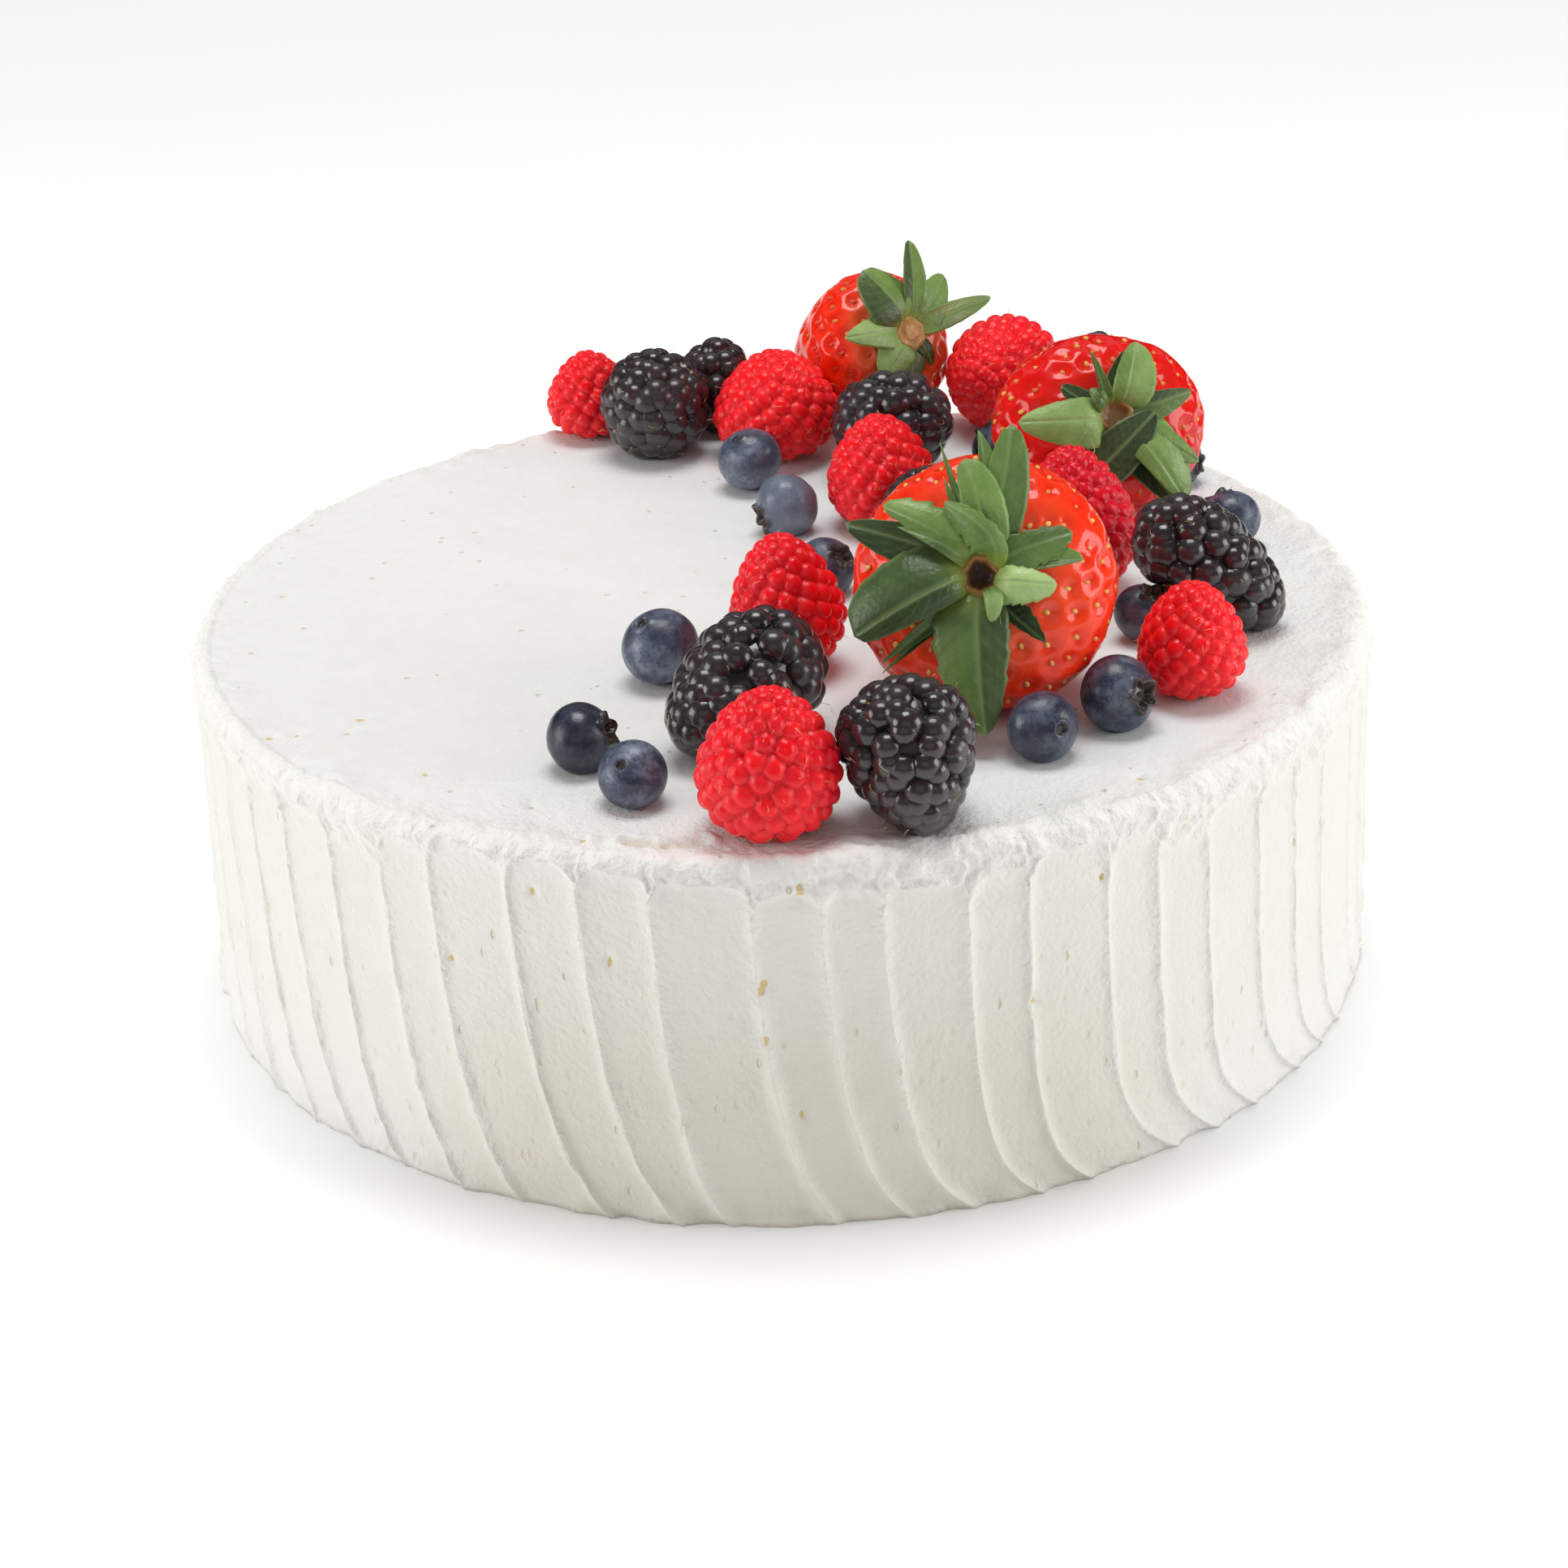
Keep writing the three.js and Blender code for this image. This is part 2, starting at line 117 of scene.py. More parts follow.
# Pits in the side as (degrees round, height, size), pits in the top as (x, y, size), and a slot by the rim
SIDE_PITS = (
    (-89.2, 64.2, 0.8), (-92.7, 46.0, 1.0), (-92.5, 36.3, 0.6), (-106.2, 49.5, 0.55), (-89.7, 21.4, 0.5),
    (-68.5, 37.8, 0.6), (-121.8, 44.9, 0.55), (-113.0, 61.0, 0.5), (-61.5, 57.5, 0.5), (-52.0, 63.5, 0.5),
)
TOP_PITS = (
    (-75.5, -45.7, 0.7), (-77.2, -51.4, 0.5), (-90.9, -52.3, 0.7), (-43.2, -84.4, 0.6), (-86.2, -51.7, 0.5),
    (-94.9, 13.4, 0.7), (-34.0, -98.5, 0.6), (60.0, -82.0, 0.6), (-62.0, -70.0, 0.5),
)
PIT_BREADTH = 1.3
SLOT = ((-26.4, -100.4), (-21.4, -101.5), (-14.3, -100.2))
SLOT_DEPTH = 1.4
SLOT_LIP = 0.8
RED_REACH = 0.95

# How far the berries go down into the cream
SUNK = 0.9
# How far a ball's first and last rings are from its poles, as a share of the way between the poles
POLE_GAP = 0.0003
# How much smaller a spot of painted shade is than its pit, and how sharp its edge is
SPOT_SHRINK = 1.2
SPOT_SHARPNESS = 4.0


# Small tools

def unit(vector):
    vector = np.asarray(vector, float)
    return vector / np.linalg.norm(vector)


def unit_rows(vectors):
    return vectors / np.linalg.norm(vectors, axis=1, keepdims=True)


def share_of(seed):
    """A number from 0 to 1 that looks random, always the same for the same seed."""
    wave = np.sin(np.asarray(seed, float) * 127.1 + 11.7) * 43758.5453
    return wave - np.floor(wave)


def smoothstep(value, low, high):
    share = np.clip((value - low) / (high - low), 0, 1)
    return share * share * (3 - 2 * share)


def bell(distance, width, power=2):
    """1 at no distance, falling to about a third at the width."""
    return np.exp(-((distance / width) ** power))


def rumple(points, size, offset=0.0):
    """Soft noise from -1 to 1 at points in millimetres, with lumps about `size` wide."""
    shift = Vector((offset, offset * 1.7, offset * 0.6))
    return np.array([noise.noise(Vector(point) + shift) for point in points / size])


def turn_z_to(direction):
    return np.array(Vector((0, 0, 1)).rotation_difference(Vector(direction)).to_matrix())


def make_piece(name, points, faces, material, marks=None):
    """A smooth mesh object from points in millimetres, with float marks on its points."""
    mesh = bpy.data.meshes.new(name)
    mesh.from_pydata((points * MM).tolist(), [], faces.tolist(), shade_flat=False)
    for mark, values in (marks or {}).items():
        layer = mesh.attributes.new(mark, "FLOAT", "POINT")
        layer.data.foreach_set("value", np.asarray(values, np.float32))
    mesh.materials.append(material)
    piece = bpy.data.objects.new(name, mesh)
    bpy.context.scene.collection.objects.link(piece)
    return piece


def dress(piece, node=None):
    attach(piece, BODY)
    if node:
        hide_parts(node)


def triples(*parts):
    """Rows of three: points from their x, y and z, or triangles from their corners."""
    return np.stack(np.broadcast_arrays(*parts), axis=-1).reshape(-1, 3)


def grid_faces(rows, columns, closed=True):
    """Triangles of a grid of points, rows first, whose rows close into rings unless told otherwise."""
    spans = columns if closed else columns - 1
    row, column = np.meshgrid(np.arange(rows - 1), np.arange(spans), indexing="ij")
    a = row * columns + column
    b = row * columns + (column + 1) % columns
    c = b + columns
    d = a + columns
    return np.concatenate([triples(a, b, c), triples(a, c, d)])


def copies(centres, axes, shape, sizes):
    """A copy of a shape at each centre, turned to its own three axes and sized along them."""
    points = centres[:, None, :]
    for number, (axis, size) in enumerate(zip(axes, sizes)):
        points = points + axis[:, None, :] * (shape[None, :, number:number + 1] * size)
    return points


def copied_faces(faces, size, count):
    """The faces of equal shapes with `size` points each, one after another."""
    first = np.arange(count) * size
    return (faces[None] + first[:, None, None]).reshape(-1, 3)


def icosphere(level):
    mesh = bpy.data.meshes.new("ball")
    shape = bmesh.new()
    bmesh.ops.create_icosphere(shape, subdivisions=level, radius=1)
    shape.to_mesh(mesh)
    shape.free()
    points = np.array([vertex.co for vertex in mesh.vertices])
    faces = np.array([list(polygon.vertices) for polygon in mesh.polygons])
    bpy.data.meshes.remove(mesh)
    return points, faces


def spread_over_ball(count):
    index = np.arange(count) + 0.5
    height = 1 - 2 * index / count
    angle = index * math.pi * (3 - math.sqrt(5))
    level = np.sqrt(1 - height * height)
    return triples(level * np.cos(angle), level * np.sin(angle), height)


def ball_rings(polar, columns):
    """Unit directions in rings at the given angles from the top pole."""
    around = np.linspace(0, 2 * math.pi, columns, endpoint=False)[None, :]
    polar = polar[:, None]
    return triples(np.sin(polar) * np.cos(around), np.sin(polar) * np.sin(around), np.cos(polar))


def ball_grid(rows, columns, crowding=0.0):
    """Unit directions in rings from the top pole to the bottom one, crowded towards the poles if told so."""
    share = np.linspace(POLE_GAP, 1 - POLE_GAP, rows)
    return ball_rings(math.pi * share - crowding * np.sin(2 * math.pi * share) / 2, columns)


def node_box(node):
    low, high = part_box(node)
    return np.array(low) / MM, np.array(high) / MM


class Placing:
    """The turn, the one size and the shift that put a shape where its CAD node is."""

    def __init__(self, points, turn, node):
        turned = points @ turn.T
        low, high = node_box(node)
        low[2] -= SUNK
        own_low = turned.min(axis=0)
        own_high = turned.max(axis=0)
        self.turn = turn
        self.scale = ((high - low) / (own_high - own_low)).mean()
        self.shift = (low + high) / 2 - (own_low + own_high) / 2 * self.scale
        self.shift[2] = high[2] - own_high[2] * self.scale

    def put(self, points):
        return points @ self.turn.T * self.scale + self.shift


# Materials

class Recipe:
    """A material, with short ways to add nodes to it."""

    def __init__(self, name, **sockets):
        self.material = bpy.data.materials.new(name)
        self.material.use_nodes = True
        self.tree = self.material.node_tree
        self.shader = self.tree.nodes["Principled BSDF"]
        for socket, value in sockets.items():
            self.set(self.shader.inputs[socket.replace("_", " ")], value)
        self.place = self.add("TexCoord").outputs["Object"]

    def set(self, socket, value):
        """Links a socket to the output of a node, or gives it a plain value or colour."""
        if isinstance(value, bpy.types.NodeSocket):
            self.tree.links.new(value, socket)
        elif socket.type == "RGBA":
            socket.default_value = (*value, 1)
        else:
            socket.default_value = value

    def add(self, kind, *values, **inputs):
        """A new node, with values for its first sockets in order and inputs for its sockets by name."""
        node = self.tree.nodes.new("ShaderNode" + kind)
        for socket, value in zip(node.inputs, values):
            self.set(socket, value)
        for name, value in inputs.items():
            self.set(node.inputs[name], value)
        return node

    def feed(self, source, socket):
        self.set(self.shader.inputs[socket], source)

    def mark(self, name):
        node = self.add("Attribute")
        node.attribute_name = name
        return node.outputs["Fac"]

    def noise(self, size, detail=2.0, roughness=0.5):
        scale = 1 / (size * MM)
        node = self.add("TexNoise", Vector=self.place, Scale=scale, Detail=detail, Roughness=roughness)
        return node.outputs["Fac"]

    def cloud(self, size, detail, depth, roughness=0.5):
        """Noise about 0."""
        return self.times(self.less(self.noise(size, detail, roughness), 0.5), depth)

    def cells(self, size, stretch):
        stretched = self.add("Mapping", Vector=self.place, Scale=stretch).outputs["Vector"]
        return self.add("TexVoronoi", Vector=stretched, Scale=1 / (size * MM)).outputs["Distance"]

    def maths(self, kind, action, output, *values):
        node = self.add(kind, *values)
        node.operation = action
        return node.outputs[output]

    plus = partialmethod(maths, "Math", "ADD", 0)
    less = partialmethod(maths, "Math", "SUBTRACT", 0)
    times = partialmethod(maths, "Math", "MULTIPLY", 0)
    most = partialmethod(maths, "Math", "MAXIMUM", 0)
    least = partialmethod(maths, "Math", "MINIMUM", 0)
    shift = partialmethod(maths, "VectorMath", "SUBTRACT", "Vector")
    stretch = partialmethod(maths, "VectorMath", "MULTIPLY", "Vector")
    length = partialmethod(maths, "VectorMath", "LENGTH", "Value")

    def spots(self, places, squash):
        """A mask with one uneven spot for each (x, y, z, size) in millimetres."""
        uneven = self.cloud(1.3, 3, 2.2)
        total = 0.0
        for x, y, z, size in places:
            shifted = self.shift(self.place, (x * MM, y * MM, z * MM))
            away = self.length(self.stretch(shifted, squash))
            share = self.times(away, SPOT_SHRINK / (size * MM))
            spot = self.times(self.less(self.plus(uneven, share), 1.0), -SPOT_SHARPNESS)
            total = self.most(total, self.least(self.most(spot, 0.0), 1.0))
        return total

    def steps(self, source, *stops):
        """A colour ramp: stops are (position, (red, green, blue)) or (position, grey)."""
        node = self.add("ValToRGB", source)
        ramp = node.color_ramp
        while len(ramp.elements) < len(stops):
            ramp.elements.new(0.5)
        for element, (position, colour) in zip(ramp.elements, stops):
            element.position = position
            shade = colour if isinstance(colour, tuple) else (colour,) * 3
            element.color = (*shade, 1)
        return node.outputs["Color"]

    def mix(self, share, first, second):
        return self.add("MixRGB", share, first, second).outputs["Color"]

    def gloss(self, size, detail, smooth, dull):
        """Makes the roughness vary between two values, with lumps of a size."""
        self.feed(self.steps(self.noise(size, detail), (0.3, smooth), (0.7, dull)), "Roughness")

    def bump(self, height, depth):
        node = self.add("Bump", Strength=1.0, Distance=depth * MM, Height=height)
        self.feed(node.outputs["Normal"], "Normal")


def cream_material():
    recipe = Recipe("cream", Specular_IOR_Level=0.3)
    # Painted light and shade through the shade mark: the lower sides are painted lighter as bounce light,
    # the side a warmer ivory than the top as warm bounce light, and the front low down darker and warmer as
    # shade.
    shade = recipe.plus(recipe.mark("shade"), recipe.cloud(9, 4, 0.22, 0.6))
    cream = recipe.steps(shade, (0.0, (0.90, 0.885, 0.84)), (0.35, (0.80, 0.797, 0.778)),
                         (0.5, (0.775, 0.758, 0.702)), (1.0, (0.64, 0.60, 0.52)))
    # Painted light: the rougher the cream, the lighter it is painted, a painted highlight along the crests
    # and painted light that fills the shade of the torn curds by the rim.
    curds = recipe.mix(recipe.times(recipe.mark("rough"), 0.75), cream, (0.89, 0.875, 0.825))
    bubbles = recipe.steps(recipe.cells(5.6, (1, 1, 0.5)), (0.04, 1.0), (0.1, 0.0))
    foam = recipe.steps(recipe.cells(3.0, (1, 1, 0.6)), (0.10, 1.0), (0.26, 0.0))
    patches = recipe.steps(recipe.noise(13, 3), (0.42, 0.0), (0.62, 1.0))
    foam = recipe.times(recipe.times(foam, patches), recipe.mark("foam"))
    small = recipe.most(recipe.times(bubbles, 0.65), recipe.times(foam, 0.5))
    side_pits = [(*side_place(degrees, height), size) for degrees, height, size in SIDE_PITS]
    top_pits = [(x, y, CAKE_HEIGHT - 0.4, size) for x, y, size in TOP_PITS]
    side_spots = recipe.spots(side_pits, (1, 0.35, 0.5))
    top_spots = recipe.spots(top_pits, (0.7, 1, 0.3))
    pits = recipe.most(recipe.most(side_spots, top_spots), recipe.mark("slot"))
    # Painted shade in hollows: the bubbles and foam are painted a darker ivory, and the pits and the slot a
    # darker ochre.
    shaded_bubbles = recipe.mix(recipe.times(small, 0.85), curds, (0.74, 0.65, 0.45))
    shaded_pits = recipe.mix(recipe.times(pits, 0.8), shaded_bubbles, (0.68, 0.48, 0.17))
    # Painted cool tint where red berries are near, which cancels part of the red light they reflect onto the
    # cream
    recipe.feed(recipe.mix(recipe.mark("painted_cool_tint"), shaded_pits, (0.73, 0.86, 0.855)), "Base Color")
    recipe.gloss(3, 2, 0.45, 0.62)
    grain = recipe.plus(recipe.noise(2.6, 3, 0.55), recipe.noise(1.0, 2))
    rough = recipe.times(grain, recipe.mark("rough"))
    recipe.bump(recipe.less(rough, recipe.times(small, 0.8)), 0.56)
    return recipe.material


def raspberry_material():
    recipe = Recipe("raspberry", Subsurface_Weight=0.7, Subsurface_Scale=0.0018, Specular_IOR_Level=0.33,
                    Subsurface_Radius=(1.0, 0.14, 0.12), Sheen_Weight=0.06, Sheen_Roughness=0.35,
                    Sheen_Tint=(1.0, 0.62, 0.66))
    # Painted light on each drupelet: darker red in the creases as painted shade, and a pinker ring just
    # inside them as painted sheen.
    skin = recipe.steps(recipe.mark("crest"), (0.0, (0.90, 0.006, 0.012)), (0.28, (1.0, 0.024, 0.030)),
                        (0.75, (0.98, 0.004, 0.007)))
    toned = recipe.mix(recipe.mark("tone"), skin, (0.68, 0.004, 0.020))
    bloom = recipe.steps(recipe.noise(5, 3), (0.5, 0.0), (0.85, 0.05))
    recipe.feed(recipe.mix(bloom, toned, (0.85, 0.20, 0.25)), "Base Color")
    recipe.gloss(2.5, 2, 0.22, 0.42)
    recipe.bump(recipe.noise(0.7, 2), 0.06)
    return recipe.material


def bramble_material():
    recipe = Recipe("bramble", Coat_Weight=0.45, Coat_Roughness=0.06, Specular_IOR_Level=0.5)
    # Painted shade: each drupelet is darker towards the gaps between drupelets.
    skin = recipe.steps(recipe.mark("crest"), (0.3, (0.013, 0.009, 0.011)), (0.8, (0.032, 0.027, 0.030)))
    recipe.feed(recipe.mix(recipe.mark("tone"), skin, (0.042, 0.018, 0.022)), "Base Color")
    recipe.gloss(8, 3, 0.18, 0.42)
    recipe.bump(recipe.noise(0.8, 2), 0.05)
    return recipe.material


def blueberry_material():
    recipe = Recipe("blueberry", Specular_IOR_Level=0.5, Coat_Weight=0.12, Coat_Roughness=0.1)
    cloud = recipe.steps(recipe.noise(5.5, 5, 0.65), (0.34, (0.014, 0.017, 0.034)),
                         (0.47, (0.062, 0.076, 0.125)), (0.62, (0.190, 0.222, 0.300)))
    scuffs = recipe.steps(recipe.noise(1.6, 5, 0.75), (0.50, 0.0), (0.64, 0.75))
    scuffed = recipe.mix(scuffs, cloud, (0.020, 0.022, 0.046))
    bloomed = recipe.mix(recipe.mark("pale"), scuffed, (0.175, 0.205, 0.270))
    toned = recipe.mix(recipe.mark("tone"), bloomed, (0.012, 0.013, 0.024))
    recipe.feed(recipe.mix(recipe.mark("crown"), toned, (0.040, 0.024, 0.018)), "Base Color")
    recipe.gloss(3, 3, 0.24, 0.5)
    recipe.bump(recipe.noise(0.6, 3), 0.05)
    return recipe.material


def strawberry_material():
    recipe = Recipe("strawberry", Subsurface_Weight=0.3, Subsurface_Scale=0.002, Specular_IOR_Level=0.2,
                    Subsurface_Radius=(1.0, 0.2, 0.1), Coat_Weight=0.45, Coat_Roughness=0.05)
    flesh = recipe.steps(recipe.noise(11, 3), (0.3, (0.96, 0.013, 0.004)), (0.7, (1.0, 0.055, 0.009)))
    toned = recipe.mix(recipe.mark("tone"), flesh, (0.74, 0.003, 0.006))
    # Painted shade: the skin is a little darker in the dents round the seeds.
    pits = recipe.mix(recipe.mark("pit"), toned, (0.82, 0.018, 0.006))
    # Paler towards the calyx: the berry's own colour, and on strawberry_back also a painted reflection.
    recipe.feed(recipe.mix(recipe.mark("shoulder_and_reflection"), pits, (0.95, 0.24, 0.08)), "Base Color")
    recipe.gloss(4, 2, 0.2, 0.32)
    recipe.bump(recipe.noise(0.9, 3), 0.06)
    return recipe.material


def seed_material():
    recipe = Recipe("seed", Roughness=0.4)
    gold = recipe.steps(recipe.noise(6, 2), (0.35, (0.72, 0.36, 0.05)), (0.65, (0.90, 0.58, 0.14)))
    recipe.feed(recipe.mix(recipe.mark("red"), gold, (0.70, 0.06, 0.015)), "Base Color")
    recipe.bump(recipe.noise(0.3, 2), 0.03)
    return recipe.material


def leaf_material():
    recipe = Recipe("leaf", Subsurface_Weight=0.12, Subsurface_Scale=0.001, Specular_IOR_Level=0.45,
                    Subsurface_Radius=(0.6, 1.0, 0.2))
    # The tone mark is partly each leaf's own green and partly painted light and shade on its halves.
    shade = recipe.plus(recipe.mark("tone"), recipe.cloud(5, 3, 0.35))
    green = recipe.steps(shade, (0.0, (0.014, 0.030, 0.011)), (0.3, (0.058, 0.099, 0.030)),
                         (0.6, (0.165, 0.275, 0.062)), (1.0, (0.44, 0.62, 0.24)))
    veined = recipe.mix(recipe.times(recipe.mark("vein"), 0.45), green, (0.30, 0.42, 0.16))
    based = recipe.mix(recipe.mark("base"), veined, (0.36, 0.42, 0.07))
    # The stalk mark runs from yellow-green through the stalk's orange-brown to near-black, the near-black
    # being painted shade in the hollow.
    stalk_and_hollow_shade = recipe.steps(recipe.mark("stalk"), (0.12, (0.30, 0.34, 0.07)), (0.45, (0.42, 0.20, 0.055)),
                        (1.0, (0.045, 0.018, 0.009)))
    cut = recipe.steps(recipe.mark("stalk"), (0.05, 0.0), (0.25, 1.0))
    recipe.feed(recipe.mix(cut, based, stalk_and_hollow_shade), "Base Color")
    recipe.gloss(2, 3, 0.28, 0.46)
    recipe.bump(recipe.less(recipe.noise(0.8, 3), recipe.mark("vein")), 0.12)
    return recipe.material


def hair_material():
    recipe = Recipe("hair", Roughness=0.5)
    gold = recipe.steps(recipe.noise(5, 2), (0.35, (0.70, 0.36, 0.10)), (0.65, (0.95, 0.66, 0.30)))
    recipe.feed(gold, "Base Color")
    return recipe.material


def floor_material():
    recipe = Recipe("floor", Roughness=0.8)
    pale = recipe.steps(recipe.noise(120, 2), (0.3, (0.975, 0.973, 0.965)), (0.7, (0.985, 0.983, 0.975)))
    recipe.feed(pale, "Base Color")
    return recipe.material


# Camera, light and floor

def set_aim(thing, place, target, roll=0.0):
    """Puts a camera or a light at a place, looking at a target."""
    forward = unit(np.subtract(target, place))
    right = unit(np.cross(forward, (0, 0, 1)))
    up = np.cross(right, forward)
    angle = math.radians(roll)
    tilted_right = right * math.cos(angle) + up * math.sin(angle)
    tilted_up = up * math.cos(angle) - right * math.sin(angle)
    turn = Matrix(np.stack([tilted_right, tilted_up, -forward], axis=1).tolist()).to_4x4()
    thing.matrix_world = Matrix.Translation(Vector(place) * MM) @ turn
    bpy.context.scene.collection.objects.link(thing)


def add_camera():
    lens = bpy.data.cameras.new("camera")
    lens.lens = CAMERA_LENS
    lens.sensor_width = SENSOR_WIDTH
    lens.sensor_fit = "HORIZONTAL"
    camera = bpy.data.objects.new("camera", lens)
    set_aim(camera, CAMERA_PLACE, CAMERA_AIM, CAMERA_ROLL)
    bpy.context.scene.camera = camera


def add_stage():
    world = bpy.data.worlds.new("studio")
    world.use_nodes = True
    background = world.node_tree.nodes["Background"]
    background.inputs["Color"].default_value = (1, 1, 1, 1)
    background.inputs["Strength"].default_value = WORLD_STRENGTH
    world.cycles_visibility.glossy = False
    bpy.context.scene.world = world
    corners = FLOOR_REACH * np.array([(-1, -1, 0), (1, -1, 0), (1, 1, 0), (-1, 1, 0)], float)
    make_piece("floor", corners, np.array([(0, 1, 2), (0, 2, 3)]), floor_material())
    for name, (place, size, watts, target) in LIGHTS.items():
        light = bpy.data.lights.new(name, "AREA")
        light.shape = "RECTANGLE"
        light.size = size[0] * MM
        light.size_y = size[1] * MM
        light.energy = watts
        set_aim(bpy.data.objects.new(name, light), place, target)
    bpy.context.scene.view_settings.view_transform = "Standard"


# Cream

def side_place(degrees, height):
    """A place on the cake's side, a little under its outermost reach."""
    angle = math.radians(degrees)
    reach = CAKE_RADIUS - BAND_DEPTH - BAND_DISH
    return reach * math.cos(angle), reach * math.sin(angle), height


def crest_angles():
    front = np.radians(FRONT_CRESTS)
    gap = (front[0] + 2 * math.pi - front[-1]) / (MORE_CRESTS + 1)
    index = np.arange(1, MORE_CRESTS + 1)
    more = front[-1] + gap * (index + STROKE_UNEVEN * (share_of(index) - 0.5))
    return np.concatenate([front, more])


def cream_sweep(angles, drop):
    """How far each crest has drifted round the cake at a share of the way down, as an angle."""
    index = np.arange(len(angles))
    reach = STROKE_SWEEP * (1 + STROKE_UNEVEN * (share_of(index + 0.3) - 0.5))
    right = smoothstep(np.cos(angles), -0.1, 0.4)
    hook = HOOK_SHARE_LEFT + (HOOK_SHARE_RIGHT - HOOK_SHARE_LEFT) * right
    return reach / CAKE_RADIUS * ((1 - hook) * drop**2 + hook * drop**HOOK_POWER)


def torn(place):
    """Ragged curds of cream, as a height over the smooth surface."""
    curds = np.abs(rumple(place, 3.8, 2.0))
    flecks = (1 - np.abs(rumple(place, 2.6, 15.0))) ** 4
    return 0.45 * rumple(place, 6, 1.0) + 1.3 * (curds - 0.2) + 0.55 * (flecks - 0.35)


def rim_lip(place, angle):
    """How high the lip stands that the strokes have pushed up along the rim."""
    seen = 0.35 + 0.65 * smoothstep(-np.sin(angle), -0.2, 0.5)
    broad = np.maximum(rumple(place, 12, 11.0) + 0.1, 0)
    narrow = np.maximum(rumple(place, 4, 12.0), 0)
    return seen * (1.3 * broad + 0.5 * narrow)


def soft_waves(place):
    return 0.16 * rumple(place, 11, 4.0) + 0.05 * rumple(place, 2.4, 6.0)


def flat_way(angle):
    return triples(np.cos(angle), np.sin(angle), 0)


